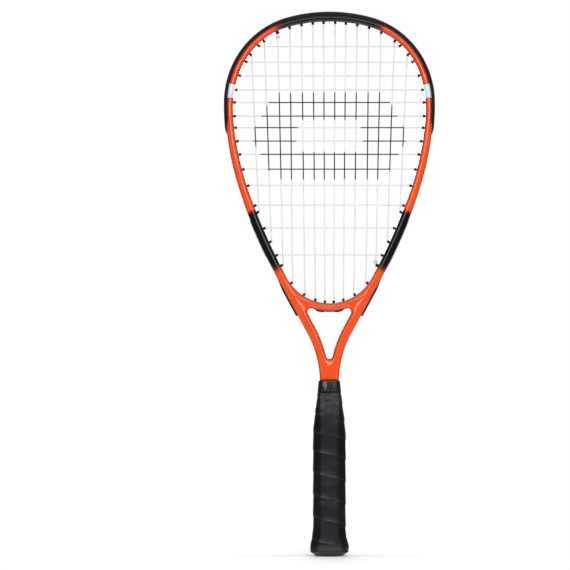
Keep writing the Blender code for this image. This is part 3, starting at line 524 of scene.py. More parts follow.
class Surface:
    """Vertices and faces gathered from grids, with one value of each kind for every vertex."""

    def __init__(self, *kinds):
        self.kinds = kinds
        self.points, self.faces, self.values = [], [], []
        self.count = 0

    def add(self, points, faces, *values):
        points = np.asarray(points, float).reshape(-1, 3)
        self.points.append(points)
        self.faces.append(np.asarray(faces).reshape(-1, 4) + self.count)
        self.values.append([np.broadcast_to(np.ravel(value), len(points)) for value in values])
        self.count += len(points)

    def grid(self, points, *values, around=False, along=False):
        """A grid of rows and columns, closed across its columns if around and across its rows if along."""
        self.add(points, grid_faces(*points.shape[:2], around, along), *values)

    def piece(self, name, finish, merge=0.004, sharp=40.0):
        """The gathered mesh as an object at the origin, with vertices closer than merge made one."""
        points = np.concatenate(self.points) * MM
        faces = np.concatenate(self.faces)
        mesh = bpy.data.meshes.new(name)
        mesh.vertices.add(len(points))
        mesh.vertices.foreach_set("co", points.ravel())
        mesh.loops.add(faces.size)
        mesh.loops.foreach_set("vertex_index", faces.ravel())
        mesh.polygons.add(len(faces))
        mesh.polygons.foreach_set("loop_start", np.arange(0, faces.size, 4))
        mesh.update(calc_edges=True)
        for place, kind in enumerate(self.kinds):
            column = np.concatenate([values[place] for values in self.values])
            mesh.attributes.new(kind, "FLOAT", "POINT").data.foreach_set("value", column)
        shape = bmesh.new()
        shape.from_mesh(mesh)
        bmesh.ops.remove_doubles(shape, verts=shape.verts, dist=merge * MM)
        bmesh.ops.recalc_face_normals(shape, faces=shape.faces)
        shape.to_mesh(mesh)
        shape.free()
        mesh.shade_smooth()
        mesh.set_sharp_from_angle(angle=math.radians(sharp))
        mesh.materials.append(finish)
        made = bpy.data.objects.new(name, mesh)
        bpy.context.scene.collection.objects.link(made)
        return made


def grid_faces(rows, columns, around=False, along=False):
    index = np.arange(rows * columns).reshape(rows, columns)
    if around:
        index = np.concatenate([index, index[:, :1]], axis=1)
    if along:
        index = np.concatenate([index, index[:1]], axis=0)
    corners = (index[:-1, :-1], index[:-1, 1:], index[1:, 1:], index[1:, :-1])
    return np.stack(corners, axis=-1).reshape(-1, 4)


def raised(flat, depth):
    """Points of the XZ plane given a depth: (x, z) and y become (x, y, z)."""
    depth = np.broadcast_to(depth, flat.shape[:-1])
    return np.stack([flat[..., 0], depth, flat[..., 1]], axis=-1)


def mount(piece, slot, *nodes):
    """Fixes a finished piece to the racket in place of the nodes it stands for."""
    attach(piece, "root")
    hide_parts(*nodes)


def scaled(colour, share):
    return [part * share for part in colour]


def add_node(tree, kind, inputs=(), **settings):
    """A node with its inputs set to values or joined to sockets, by place or by name."""
    made = tree.nodes.new(kind)
    for setting, value in settings.items():
        setattr(made, setting, value)
    for socket, value in inputs.items() if isinstance(inputs, dict) else enumerate(inputs):
        if isinstance(value, bpy.types.NodeSocket):
            tree.links.new(value, made.inputs[socket])
        elif value is not None:
            made.inputs[socket].default_value = value
    return made


class Finish:
    """A node material round one Principled shader, whose even values are set on its own sockets."""

    def __init__(self, name, colour, roughness, **sockets):
        self.material = bpy.data.materials.new(name)
        self.material.use_nodes = True
        self.tree = self.material.node_tree
        self.shader = self.tree.nodes["Principled BSDF"]
        self.shader.inputs["Base Color"].default_value = (*colour, 1.0)
        self.shader.inputs["Roughness"].default_value = roughness
        for socket, value in sockets.items():
            self.shader.inputs[socket.replace("_", " ")].default_value = value
        self.material.diffuse_color = (*colour, 1.0)
        self.place = self.node("ShaderNodeTexCoord").outputs["Object"]

    def node(self, kind, inputs=(), **settings):
        return add_node(self.tree, kind, inputs, **settings)

    def join(self, socket, value):
        self.tree.links.new(value, self.shader.inputs[socket])

    def value(self, attribute):
        return self.node("ShaderNodeAttribute", attribute_name=attribute).outputs["Fac"]

    def axes(self):
        return self.node("ShaderNodeSeparateXYZ", (self.place,)).outputs

    def math(self, operation, *values):
        return self.node("ShaderNodeMath", values, operation=operation).outputs[0]

    def times(self, *values):
        """The product of two or more values."""
        product = values[0]
        for value in values[1:]:
            product = self.math("MULTIPLY", product, value)
        return product

    def most(self, *values):
        """The greatest of two or more values."""
        greatest = values[0]
        for value in values[1:]:
            greatest = self.math("MAXIMUM", greatest, value)
        return greatest

    def line(self, value, slope, start):
        """The value times the slope, from a start."""
        return self.math("MULTIPLY_ADD", value, slope, start)

    def step(self, value, low, high):
        """From 0 at low to 1 at high, smoothly."""
        inputs = {"Value": value, "From Min": low, "From Max": high}
        return self.node("ShaderNodeMapRange", inputs, interpolation_type="SMOOTHSTEP").outputs[0]

    def spread(self, value, low, high, start=0.0, end=1.0):
        """From low at start to high at end, evenly."""
        inputs = {"Value": value, "From Min": start, "From Max": end, "To Min": low, "To Max": high}
        return self.node("ShaderNodeMapRange", inputs).outputs[0]

    def noise(self, scale, detail, roughness=0.5, stretch=None):
        place = self.place
        if stretch:
            place = self.node("ShaderNodeMapping", {"Vector": place, "Scale": stretch}).outputs[0]
        inputs = {"Vector": place, "Scale": scale, "Detail": detail, "Roughness": roughness}
        return self.node("ShaderNodeTexNoise", inputs).outputs["Fac"]

    def mix(self, share, first, second):
        """From the first colour at share 0 to the second at 1."""
        ends = [end if isinstance(end, bpy.types.NodeSocket) else (*end, 1.0) for end in (first, second)]
        return self.node("ShaderNodeMix", {0: share, 6: ends[0], 7: ends[1]}, data_type="RGBA").outputs[2]

    def bump(self, height, strength, distance):
        """Adds a bump, on top of one that is already there."""
        inputs = {"Height": height, "Strength": strength, "Distance": distance * MM}
        joined = self.shader.inputs["Normal"].links
        if joined:
            inputs["Normal"] = joined[0].from_socket
        self.join("Normal", self.node("ShaderNodeBump", inputs).outputs[0])


# Frame


def edge_rounding(outline, runs):
    """Radius of the edge at each run: the outer one is rounder beside the guard and eases near its end."""
    if outline is not OUTER:
        return np.full((len(runs), 1), INNER_ROUND)
    ease = smooth((GUARD_END - GUARD_ROUND_SHORT - runs) / GUARD_ROUND_EASE)
    return (OUTER_ROUND + (GUARD_ROUND - OUTER_ROUND) * ease)[:, None]


def cross_samples(radius, edge_round):
    """Distances from an edge to the middle of the material: close together on the rounding, then even."""
    turn = np.linspace(0.0, math.pi / 2, ROUND_SAMPLES + 1)
    share = np.linspace(0.0, 1.0, FACET_SAMPLES + 1)[1:]
    facet = edge_round + (radius[:, None] - edge_round) * share
    return np.concatenate([edge_round * (1.0 - np.cos(turn)), facet], axis=1)


def guide_lines():
    """The ridges of the right half: round the hoop and down the arm, and along the bridge."""
    arm_x, arm_z = ARM_RIDGE[0]
    hoop_end = HEAD.hit(np.array([arm_x, arm_z + HOOP_SHORT]), LEFT)
    hoop = HEAD.at(np.arange(0.0, hoop_end - HOOP_SHORT, HOOP_RIDGE_STEP), RIDGE_INSET)
    low_run = THROAT.hit(np.array([0.0, ARM_RIDGE[-1][1] - THROAT_SHORT]), RIGHT)
    low = np.linspace(low_run, THROAT.run_at_height(RIDGE_PARTS_Z), THROAT_RIDGE_POINTS)
    arm = THROAT.at(low, RIDGE_INSET)
    main = hermite(np.concatenate([hoop, ARM_RIDGE, arm]), RIDGE_STEPS)
    main = np.concatenate([main, [[0.0, RIDGES_MEET_Z]]])
    bridge_run = HEAD.hit(np.array([BRIDGE_RIDGE[-1][0] - BRIDGE_SHORT, WEAVE_Z]), DOWN)
    bridge = HEAD.at(np.linspace(bridge_run, HEAD.length, BRIDGE_RIDGE_POINTS), BRIDGE_INSET)
    return main, hermite(np.concatenate([BRIDGE_RIDGE, bridge]), RIDGE_STEPS)


def distance_to_lines(flat, lines):
    """Least distance from each point to the straight pieces of the lines."""
    starts = np.concatenate([line[:-1] for line in lines])
    spans = np.concatenate([np.diff(line, axis=0) for line in lines])
    squares = (spans**2).sum(axis=1)
    away = flat[..., None, :] - starts
    share = np.clip((away * spans).sum(axis=-1) / squares, 0.0, 1.0)
    return np.linalg.norm(away - share[..., None] * spans, axis=-1).min(axis=-1)


def front_depth(flat, distance, edge_round, lines):
    """Depth of the front: half the beam, less the facet's fall, less a quarter round at the edge.

    A facet falls in the share r / (d + r), where d is the distance to the edge and r the softened distance to
    the nearest ridge, sqrt(r^2 + soft^2) - soft. The shaft's front is flat up to the V where the ridges meet,
    and towards it r is (a^-n + b^-n)^(-1/n), for the distances a to the ridge and b to the flat.
    """
    ridge = distance_to_lines(flat, lines)
    beside = np.maximum(np.abs(flat[..., 0]) - SHAFT_FLAT, 0.0)
    above = np.maximum(flat[..., 1] - RIDGES_MEET_Z - RIDGES_SLOPE * np.abs(flat[..., 0]), 0.0)
    shaft = np.hypot(beside, above / math.hypot(1.0, RIDGES_SLOPE))
    ridge, shaft = (np.maximum(away, LEAST_DISTANCE) ** -FLAT_BLEND for away in (ridge, shaft))
    ridge = (ridge + shaft) ** (-1.0 / FLAT_BLEND)
    ridge = np.hypot(ridge, RIDGE_SOFT) - RIDGE_SOFT
    fall = ridge / np.maximum(distance + ridge, TINY)
    into = edge_round - np.minimum(distance, edge_round)
    rounding = edge_round - np.sqrt(edge_round**2 - into**2)
    return HALF_DEPTH - FACET_FALL * fall - rounding


def junction():
    """Where the hoop, bridge and arm part: the circle that touches all three outlines."""
    runs = np.linspace(JUNCTION_FROM, 1.0, JUNCTION_SAMPLES) * HEAD.length
    _, to_outer, outer_found = HEAD.touching(runs, OUTER.points)
    _, to_throat, throat_found = HEAD.touching(runs, THROAT.points)
    place = np.flatnonzero(to_outer > to_throat)[0]
    return runs[place], OUTER.run[outer_found[place]], THROAT.run[throat_found[place]]


def spaced(start, end, step):
    """Runs from start to end, both kept, about a step apart."""
    return np.linspace(start, end, math.ceil((end - start) / step))


def ribs():
    """Lines across the material, as bands of (outline, runs, centres, radii, outer runs opposite).

    The three bands that meet at the junction share one centre there, and one point on each outline.
    """
    head_run, outer_run, throat_run = junction()
    hoop = spaced(0.0, head_run, RIB_STEP)
    centres, radius, found = HEAD.touching(hoop, OUTER.points)
    feet = OUTER.run[found]
    feet[-1] = outer_run
    heart, heart_radius = centres[-1], radius[-1]
    bands = [(HEAD, hoop, centres, radius, feet), (OUTER, feet, centres, radius, None)]
    across = spaced(head_run, HEAD.length, RIB_STEP)
    centres, radius, found = HEAD.touching(across, THROAT.points)
    roof = THROAT.run[found]
    roof[0] = throat_run
    centres[0], radius[0] = heart, heart_radius
    bands += [(HEAD, across, centres, radius, None), (THROAT, roof, centres, radius, None)]
    arm = spaced(throat_run, THROAT.length, RIB_STEP)
    both = np.concatenate([OUTER.points, OUTER.points * (-1.0, 1.0)])
    centres, radius, found = THROAT.touching(arm, both)
    sides = OUTER.run[found % len(OUTER.points)]
    sides[0] = outer_run
    centres[0], radius[0] = heart, heart_radius
    bands += [(THROAT, arm, centres, radius, sides), (OUTER, sides, centres, radius, None)]
    fork, fork_radius = centres[-1], radius[-1]
    shows_to = OUTER.run_at_height(SHAFT_SHOWS_TO)
    shaft = np.arange(sides[-1], shows_to, RIB_STEP)
    shaft = np.concatenate([shaft, spaced(shows_to, OUTER.length, HIDDEN_RIB_STEP)])
    edge = OUTER.at(shaft)
    inward = -OUTER.normal(shaft)
    radius = edge[:, 0] / -inward[:, 0]
    centres = edge + radius[:, None] * inward
    centres[0], radius[0] = fork, fork_radius
    bands.append((OUTER, shaft, centres, radius, None))
    return bands


def build_frame(finish):
    """Skin of the frame: half bands between each outline and the middle of the material, and three walls.

    Paint is placed by the run of the outer edge. An inner outline takes the run of the edge opposite, and on
    both sides of the bridge it takes that of the junction. The last band ends at the shaft's foot.
    """
    lines = guide_lines()
    skin = Surface("run", "rim", "inset")
    walls = {OUTER: [], HEAD: [], THROAT: []}
    junction_run = junction()[1]
    for outline, runs, centres, radius, opposite in ribs():
        edge_round = edge_rounding(outline, runs)
        distance = cross_samples(radius, edge_round)
        edge = outline.at(runs)
        share = distance / radius[:, None]
        flat = edge[:, None] + (centres - edge)[:, None] * share[..., None]
        depth = front_depth(flat, distance, edge_round, lines)
        paint = opposite
        if outline is OUTER:
            paint = runs
        elif opposite is None:
            paint = np.full(len(runs), junction_run)
        walls[outline].append((runs, paint))
        paint = np.broadcast_to(paint[:, None], distance.shape)
        rim = distance if outline is OUTER else np.full(distance.shape, FAR_FROM_RIM)
        for side in (1.0, -1.0):
            for facing in (-1.0, 1.0):
                skin.grid(raised(flat * (side, 1.0), facing * depth), paint, rim, distance)
    for outline, parts in walls.items():
        runs, paint = map(np.concatenate, zip(*parts))
        runs, order = np.unique(runs, return_index=True)
        add_wall(skin, outline, runs, paint[order])
    add_foot(skin, flat[-1], depth[-1])
    return skin.piece("frame_skin", finish, sharp=50.0)


def wall_depths(edge_depth):
    """Depths at which a wall is sampled, from front edge to back edge: close together at the channel."""
    beside = CHANNEL_HALF + np.array(CHANNEL_SIDE_SAMPLES)
    fixed = np.broadcast_to([*beside, 0.0], (len(edge_depth), len(beside) + 1))
    depths = np.concatenate([edge_depth, (edge_depth + beside[0]) / 2, fixed], axis=1)
    return np.concatenate([-depths, depths[:, -2::-1]], axis=1)


def add_foot(skin, flat, depth):
    """Closes the shaft's lower end: the front's depths times a share that runs from -1 to 1."""
    share = wall_depths(depth[None, :1])[0] / depth[0]
    depths = share[:, None] * depth
    points = raised(np.broadcast_to(flat, (*depths.shape, 2)), depths)
    for side in (1.0, -1.0):
        skin.grid(points * (side, 1.0, 1.0), OUTER.length, FAR_FROM_RIM, FAR_FROM_RIM)


def add_wall(skin, outline, runs, paint):
    """Wall along an outline, dipping to a channel where a grommet strip lies.

    Its inset, which sets the painted edge shade, grows by WALL_INSET_RISE times the distance from the front's
    and the back's edge.
    """
    edge_depth = HALF_DEPTH - FACET_FALL - edge_rounding(outline, runs)
    depths = wall_depths(edge_depth)
    dips = np.array(WALL_DIPS + WALL_DIPS[-2::-1])
    if outline is OUTER:
        channel = CHANNEL_DEPTH * (runs < LOWER_END - STRIP_HALF)
    elif outline is THROAT:
        within = outline.at(runs)[:, 0] < BRIDGE_HALF_SPAN + BRIDGE_CHANNEL_GAP
        channel = -BRIDGE_CHANNEL_DEPTH * (within & (runs < BRIDGE_ROOF_RUN))
    else:
        channel = np.zeros(len(runs))
    flat = outline.at(runs[:, None] * np.ones(len(dips)), -channel[:, None] * dips)
    paint = np.broadcast_to(paint[:, None], flat.shape[:2])
    rim = np.full(flat.shape[:2], 0.0 if outline is OUTER else FAR_FROM_RIM)
    inset = WALL_INSET_RISE * (edge_depth - np.abs(depths))
    for side in (1.0, -1.0):
        skin.grid(raised(flat * (side, 1.0), depths), paint, rim, inset)


# Grommet strips


class Grommet:
    """One string hole: its barrel's inner tip, its axis, and where that comes out of the frame.

    The axis leans from the string's own direction towards the normal of the head's edge.
    """

    def __init__(self, start, along, outside=OUTER, lean=LEAN, tie=False):
        side = math.copysign(1.0, start[0] if start[0] else along[0])
        start = np.array([abs(start[0]), start[1]])
        along = np.array([abs(along[0]), along[1]])
        tip_run = HEAD.hit(start, along, -BARREL_STAND)
        self.tip = HEAD.at(tip_run, -BARREL_STAND)
        self.axis = unit(lean * HEAD.normal(tip_run) + (1 - lean) * along)
        self.edge = outside
        self.run = float(outside.hit(self.tip, self.axis))
        self.out = outside.normal(self.run) * (-1.0 if outside is THROAT else 1.0)
        self.exit = outside.at(self.run)
        self.tie = tie
        for value in (self.tip, self.axis, self.out, self.exit):
            value[0] *= side
        self.run *= side

    def on_axis(self, rise):
        """Point on the axis at a height above the frame's outer surface."""
        return self.exit + self.axis * rise / (self.axis @ self.out)

    def mouth(self):
        return self.tip - self.axis * MOUTH


def make_grommets():
    """Holes at the mains' tops and bottoms and at the crosses' ends, by number: negative on the left."""
    mains_top, mains_bottom, crosses = {}, {}, {}
    for number, (top_x, bottom_x, lean) in enumerate(zip(MAINS_TOP, MAINS_BOTTOM, LOWER_LEANS), 1):
        for side in (1, -1):
            main = side * number
            outside = THROAT if number <= BRIDGE_MAINS else OUTER
            mains_top[main] = Grommet((side * top_x, WEAVE_Z), UP, tie=main == -TIE_MAIN)
            foot = (side * bottom_x, WEAVE_Z)
            mains_bottom[main] = Grommet(foot, DOWN, outside, lean, tie=main == TIE_MAIN)
    for number, z in enumerate(CROSSES, 1):
        for side in (1, -1):
            crosses[side * number] = Grommet((0.0, z), side * RIGHT)
    return mains_top, mains_bottom, crosses


MAIN_TOPS, MAIN_BOTTOMS, CROSS_ENDS = make_grommets()
GROMMETS = (*MAIN_TOPS.values(), *MAIN_BOTTOMS.values(), *CROSS_ENDS.values())


def add_turned(surface, centre, axis, across, deep, profile, hollow=True):
    """Profile of (distance, radius) turned round an axis: centre + s axis + r (cos t across + sin t deep)."""
    profile = np.asarray(profile)
    turn = np.linspace(0.0, 2 * math.pi, BARREL_SIDES, endpoint=False)
    ring = np.cos(turn)[:, None] * across + np.sin(turn)[:, None] * deep
    along = centre + profile[:, :1] * axis
    surface.grid(along[:, None] + profile[:, 1, None, None] * ring, around=True, along=hollow)


def add_barrels(surface, grommets, floor_rise):
    """A barrel and a collar for each hole, wider where an end of the string shares the hole."""
    for grommet in grommets:
        axis = raised(grommet.axis, 0.0)
        across = np.cross(axis, DEEP)
        wider = TIE_WIDER if grommet.tie else 0.0
        profile = np.array(BARREL_PROFILE) + (0.0, wider)
        add_turned(surface, raised(grommet.tip, 0.0), axis, across, DEEP, profile)
        collar = np.array(COLLAR_PROFILE)[:, ::-1] + (0.0, wider)
        add_turned(surface, raised(grommet.on_axis(floor_rise), 0.0), axis, across, DEEP, collar)


def swept(outline, runs, rises, depths):
    """Section carried along an outline: at run u the point (rise, depth) goes to edge(u) + rise normal(u)."""
    runs = np.broadcast_to(np.asarray(runs)[:, None], rises.shape)
    return raised(outline.at(runs, rises), depths)


def whole_section(rises, depths):
    """A section from its half, which starts and ends in the middle, and each line's mirror image."""
    half = rises.shape[1]
    columns = 2 * half - 2
    rises = np.concatenate([rises, rises[:, -2:0:-1]], axis=1)
    depths = np.concatenate([depths, -depths[:, -2:0:-1]], axis=1)
    return rises, depths, (columns - np.arange(half)) % columns


def guard_runs():
    """Distances round the guard: close together at the slots' rounded ends, and three between two slots."""
    count = int((GUARD_END - SLOT_LENGTH) / SLOT_PITCH)
    within = SLOT_LENGTH / 2 * np.array(SLOT_SAMPLES)
    between = SLOT_LENGTH / 2 + (SLOT_PITCH - SLOT_LENGTH) * np.array(LAND_SAMPLES)
    pattern = np.concatenate([within, between])
    middles = SLOT_PITCH * np.arange(-count, count + 1)
    runs = (middles[:, None] + pattern).ravel()[:-len(between)]
    ahead = runs[-1] + np.linspace(0.0, GUARD_END - runs[-1], GUARD_END_SAMPLES)[1:]
    return np.concatenate([-ahead[::-1], runs, ahead]), count


def build_guard(finish):
    """Bumper guard: a section carried round the top of the frame, with two rows of slots open through it.

    A slot's sides stand w(u) from its middle line, w = W/2 (e + (1 - e) sqrt(1 - |u|^n)) with u the share of
    its half length, so its ends are square with round corners. Towards the guard's ends, at the share s of
    the taper, it narrows to the width of its channel by (s + sin(pi s / 2)) / 2, and it thins at the tips.
    """
    runs, count = guard_runs()
    nearest = np.clip(np.round(runs / SLOT_PITCH), -count, count)
    share = np.abs(runs - nearest * SLOT_PITCH) / (SLOT_LENGTH / 2)
    inside = share <= 1.0 + TINY
    corners = np.sqrt(np.clip(1.0 - share**SLOT_POWER, 0.0, 1.0))
    opening = SLOT_WIDTH / 2 * (SLOT_END_SHARE + (1.0 - SLOT_END_SHARE) * corners)
    rises, depths = (np.tile(column, (len(runs), 1)) for column in GUARD_HALF.T)
    for line, side in zip(SLOT_LINES, SLOT_SIDES):
        depths[:, line] += side * opening
    away = (GUARD_END - np.abs(runs))[:, None]
    share = np.clip(away / GUARD_TAPER, 0.0, 1.0)
    thin = GUARD_TIP_SHARE + (1.0 - GUARD_TIP_SHARE) * smooth(away / GUARD_TIP)
    rises = np.where(rises > GUARD_THINS_FROM, GUARD_THINS_FROM + (rises - GUARD_THINS_FROM) * thin, rises)
    lip = (depths > GUARD_LIP_FROM) & (rises < 0.0)
    rises = np.where(lip, rises * (GUARD_TIP_LEFT + (1.0 - GUARD_TIP_LEFT) * smooth(share)), rises)
    narrow = GUARD_TIP_LEFT + (1.0 - GUARD_TIP_LEFT) * (share + np.sin(math.pi / 2 * share)) / 2
    depths = np.where(depths > GUARD_TIP_HALF, GUARD_TIP_HALF + (depths - GUARD_TIP_HALF) * narrow, depths)
    rises, depths, mirror = whole_section(rises, depths)
    columns = rises.shape[1]
    faces = grid_faces(len(runs), columns, around=True)
    row, column = np.divmod(np.arange(len(faces)), columns)
    slot_row = inside[:-1] & inside[1:]
    holes = [SLOT_LINES[0], SLOT_LINES[2], mirror[SLOT_LINES[1]], mirror[SLOT_LINES[3]]]
    faces = faces[~(slot_row[row] & np.isin(column, holes))]
    faces = [faces, slot_walls(slot_row, columns, mirror), end_caps(len(runs), mirror)]
    surface = Surface()
    surface.add(swept(OUTER, runs, rises, depths), np.concatenate(faces))
    held = [hole for hole in GROMMETS if hole.edge is OUTER and abs(hole.run) < GUARD_END]
    add_barrels(surface, held, FLOOR_RISE)
    return surface.piece("bumper_guard_skin", finish, sharp=35.0)


def slot_walls(slot_row, columns, mirror):
    """Faces that join a slot's sides on the outer surface to those on the inner one, and close its ends."""
    index = np.arange((len(slot_row) + 1) * columns).reshape(-1, columns)
    rows = np.flatnonzero(slot_row)
    before = np.concatenate([[False], slot_row])
    after = np.concatenate([slot_row, [False]])
    ends = np.flatnonzero(before != after)
    faces = []
    for lines in (SLOT_LINES, [mirror[line] for line in SLOT_LINES]):
        near, far, far_in, near_in = (index[:, line] for line in lines)
        for outer, inner in ((near, near_in), (far, far_in)):
            faces.append(np.stack([outer[rows], outer[rows + 1], inner[rows + 1], inner[rows]], axis=1))
        faces.append(np.stack([near[ends], far[ends], far_in[ends], near_in[ends]], axis=1))
    return np.concatenate(faces)


def end_caps(rows, mirror):
    """Closes the section at both ends with faces between its upper and lower side."""
    half = len(mirror)
    columns = 2 * half - 2
    index = np.arange(rows * columns).reshape(rows, columns)
    up = np.arange(half // 2 - 1)
    down = half - 1 - up
    faces = []
    for row in (index[0], index[-1]):
        for line in (row[:half], row[mirror]):
            faces.append(np.stack([line[up], line[up + 1], line[down - 1], line[down]], axis=1))
    return np.concatenate(faces)


def strip_surface(outline, runs, lip_rise, narrow, filled=0.0, way=1.0, lift=0.0):
    """Channel section carried along an outline.

    Its lips are raised by lip_rise, its width scaled by narrow, and its floor raised to the lips by filled.
    """
    rises = STRIP_SECTION[:, 0] + STRIP_SECTION[:, 2] * lip_rise[:, None]
    floor = np.arange(len(STRIP_SECTION)) < FLOOR_POINTS
    fill = floor * np.broadcast_to(filled, len(runs))[:, None]
    rises = way * (rises + fill * (lip_rise[:, None] - rises) + lift)
    rises, depths, mirror = whole_section(rises, STRIP_SECTION[:, 1] * narrow[:, None])
    faces = grid_faces(len(runs), rises.shape[1], around=True)
    surface = Surface()
    surface.add(swept(outline, runs, rises, depths), np.concatenate([faces, end_caps(len(runs), mirror)]))
    return surface


def round_ends(runs, radius):
    """Width share of a strip with round ends: e + (1 - e) sqrt(1 - (1 - d/r)^2) at d from an end."""
    away = np.minimum(runs - runs[0], runs[-1] - runs) / radius
    return STRIP_END_SHARE + (1.0 - STRIP_END_SHARE) * quarter_round(away)


def end_spaced(start, end, step, radius):
    """Distances from start to end, closer together at both ends."""
    turn = np.linspace(0.0, math.pi / 2, STRIP_END_SAMPLES)[:-1]
    near = radius * (1.0 - np.cos(turn))
    middle = np.linspace(start + radius, end - radius, max(2, math.ceil((end - start) / step)))
    return np.concatenate([start + near, middle, end - near[::-1]])


def build_strips(finish):
    """Side strips flush with the frame, and lower strips whose lips rise out of the channel."""
    made = {}
    for side, word in SIDES:
        for name, start, end, rise in (
            ("side_grommet_strip_", GUARD_END + STRIP_GAP, SIDE_END, 0.0),
            ("lower_grommet_strip_", SIDE_END + STRIP_GAP, LOWER_END, LOWER_STRIP_RISE),
        ):
            runs = end_spaced(start, end, STRIP_STEP, STRIP_HALF)
            lift = rise * smooth((runs - start - LIP_RISES_FROM) / LIP_RISES_OVER)
            away = np.minimum(end - runs, runs - start) if rise else end - runs
            closed = smooth((STRIP_CLOSED - away) / CLOSED_BLEND)
            surface = strip_surface(OUTER, side * runs, lift, round_ends(runs, STRIP_HALF), closed)
            held = [hole for hole in GROMMETS if hole.edge is OUTER and start < side * hole.run < end]
            add_barrels(surface, held, FLOOR_RISE)
            made[name + word] = surface.piece(name + word + "_skin", finish, sharp=35.0)
    return made


def build_bridge_strip(finish):
    """Strip under the bridge: its lips hang lower at two pads."""
    span = THROAT.hit(np.array([BRIDGE_HALF_SPAN, THROAT_TOP - UNDER_ROOF]), UP)
    runs = end_spaced(-span, span, BRIDGE_STEP, BRIDGE_END_ROUND)
    beside = np.abs(np.abs(runs) - PAD_X)
    pads = smooth((PAD_HALF_FOOT - beside) / (PAD_HALF_FOOT - PAD_HALF_TOP))
    lip = BRIDGE_LIP + (PAD_LIP - BRIDGE_LIP) * pads
    away = np.minimum(runs - runs[0], runs[-1] - runs)
    lip *= BRIDGE_END_LIP + (1.0 - BRIDGE_END_LIP) * smooth(away / BRIDGE_END_FADE)
    narrow = BRIDGE_END_WIDTH + (1.0 - BRIDGE_END_WIDTH) * round_ends(runs, BRIDGE_END_ROUND)
    lift = CHANNEL_DEPTH - BRIDGE_CHANNEL_DEPTH
    surface = strip_surface(THROAT, runs, lip - lift, narrow, way=-1.0, lift=lift)
    held = [hole for hole in GROMMETS if hole.edge is THROAT]
    add_barrels(surface, held, FLOOR_RISE + lift)
    return surface.piece("bridge_grommet_strip_skin", finish, sharp=35.0)


# String


def main_depth(main, cross):
    """The mains pass behind and in front of the crosses by turns."""
    place = main - 1 if main > 0 else -main
    return WEAVE if (place + cross) % 2 else -WEAVE


def crossings(kind, number, start):
    """Where one main or cross meets the others, as (point, depth), in order from start."""
    mains = [number] if kind == "main" else list(MAIN_TOPS)
    crosses = [number] if kind == "cross" else range(1, len(CROSSES) + 1)
    side = 1.0 if kind == "main" else -1.0
    points = []
    for main in mains:
        low, high = MAIN_BOTTOMS[main].tip, MAIN_TOPS[main].tip
        for cross in crosses:
            z = CROSS_ENDS[cross].tip[1]
            x = np.interp(z, (low[1], high[1]), (low[0], high[0]))
            if low[1] < z < high[1] and abs(x) < CROSS_ENDS[cross].tip[0]:
                points.append((np.array([x, z]), side * main_depth(main, cross)))
    return sorted(points, key=lambda point: np.linalg.norm(point[0] - start))


class Leg:
    """A straight inside run of the string, from one grommet to another."""

    def __init__(self, kind, number, ends):
        self.kind = kind
        self.start, self.end = ends
        self.woven = crossings(kind, number, self.start.tip)

    def points(self):
        """In its bores the string lies towards the side on which it meets its nearest crossing."""
        first, last = self.woven[0][1], self.woven[-1][1]
        ends = ((self.start, first), (self.end, last))
        sides = [-TIE_SIDE if hole.tie else math.copysign(BORE_SIDE, near) for hole, near in ends]
        inside = [raised(point, depth) for point, depth in self.woven]
        mouths = [raised(hole.mouth(), side) for (hole, _), side in zip(ends, sides)]
        nearest = (inside[0], inside[-1])
        bends = [mouth + STRAIGHT_TO * unit(near - mouth) for mouth, near in zip(mouths, nearest)]
        return [mouths[0], bends[0], *inside, bends[1], mouths[1]]


def string_legs():
    """In stringing order: first the mains, from right to left, then the crosses, upwards."""
    legs = []
    mains = range(1, len(MAINS_TOP) + 1)
    for order, main in enumerate([*reversed(mains), *(-main for main in mains)]):
        ends = (MAIN_BOTTOMS[main], MAIN_TOPS[main])
        legs.append(Leg("main", main, ends[::-1] if order % 2 else ends))
    for order, cross in enumerate(range(len(CROSSES), 0, -1)):
        ends = (CROSS_ENDS[-cross], CROSS_ENDS[cross])
        legs.append(Leg("cross", cross, ends[::-1] if order % 2 else ends))
    return legs


class Loop:
    """An outside run of the string, along the channel from one hole to another."""

    def __init__(self, kind, start, end):
        self.kind, self.start, self.end = kind, start, end
        self.low, self.high = sorted((start.run, end.run))

    def beside(self, other):
        same_edge = self.start.edge is other.start.edge
        return other is not self and same_edge and self.low < other.high and other.low < self.high

    def lane(self, loops):
        """Depth at which it runs: two that share a stretch of the channel lie side by side."""
        if self in (loops[0], loops[-1]):
            return TIE_SIDE
        if self.kind == "transfer" or not any(self.beside(other) for other in loops):
            return 0.0
        return -LANE if self.kind == "main" else LANE

    def points(self, lane, start_depth, end_depth):
        """Up out of the first hole, along the channel at the lane's depth, and down into the second hole."""
        edge = self.start.edge
        out = -1.0 if edge is THROAT else 1.0
        base = BRIDGE_LOOP_RISE if edge is THROAT else LOOP_RISE
        rise = LOOP_RISE + OVER_LAYER if self.kind == "transfer" else base
        way = math.copysign(1.0, self.end.run - self.start.run)
        length = self.high - self.low - 2 * LOOP_START
        steps = max(1, round(length / LOOP_STEP))
        down, up = self.start.run + LOOP_BEND * way, self.end.run - LOOP_BEND * way
        along = self.start.run + way * (LOOP_START + length * np.arange(steps + 1) / steps)
        middle = [raised(edge.at(run, rise * out), lane) for run in along]
        return [
            raised(self.start.on_axis(base - LOOP_COMES_UP), start_depth),
            raised(edge.at(down, base * out), (start_depth + lane) / 2),
            *middle,
            raised(edge.at(up, base * out), (end_depth + lane) / 2),
            raised(self.end.on_axis(base - LOOP_COMES_UP), end_depth),
        ]


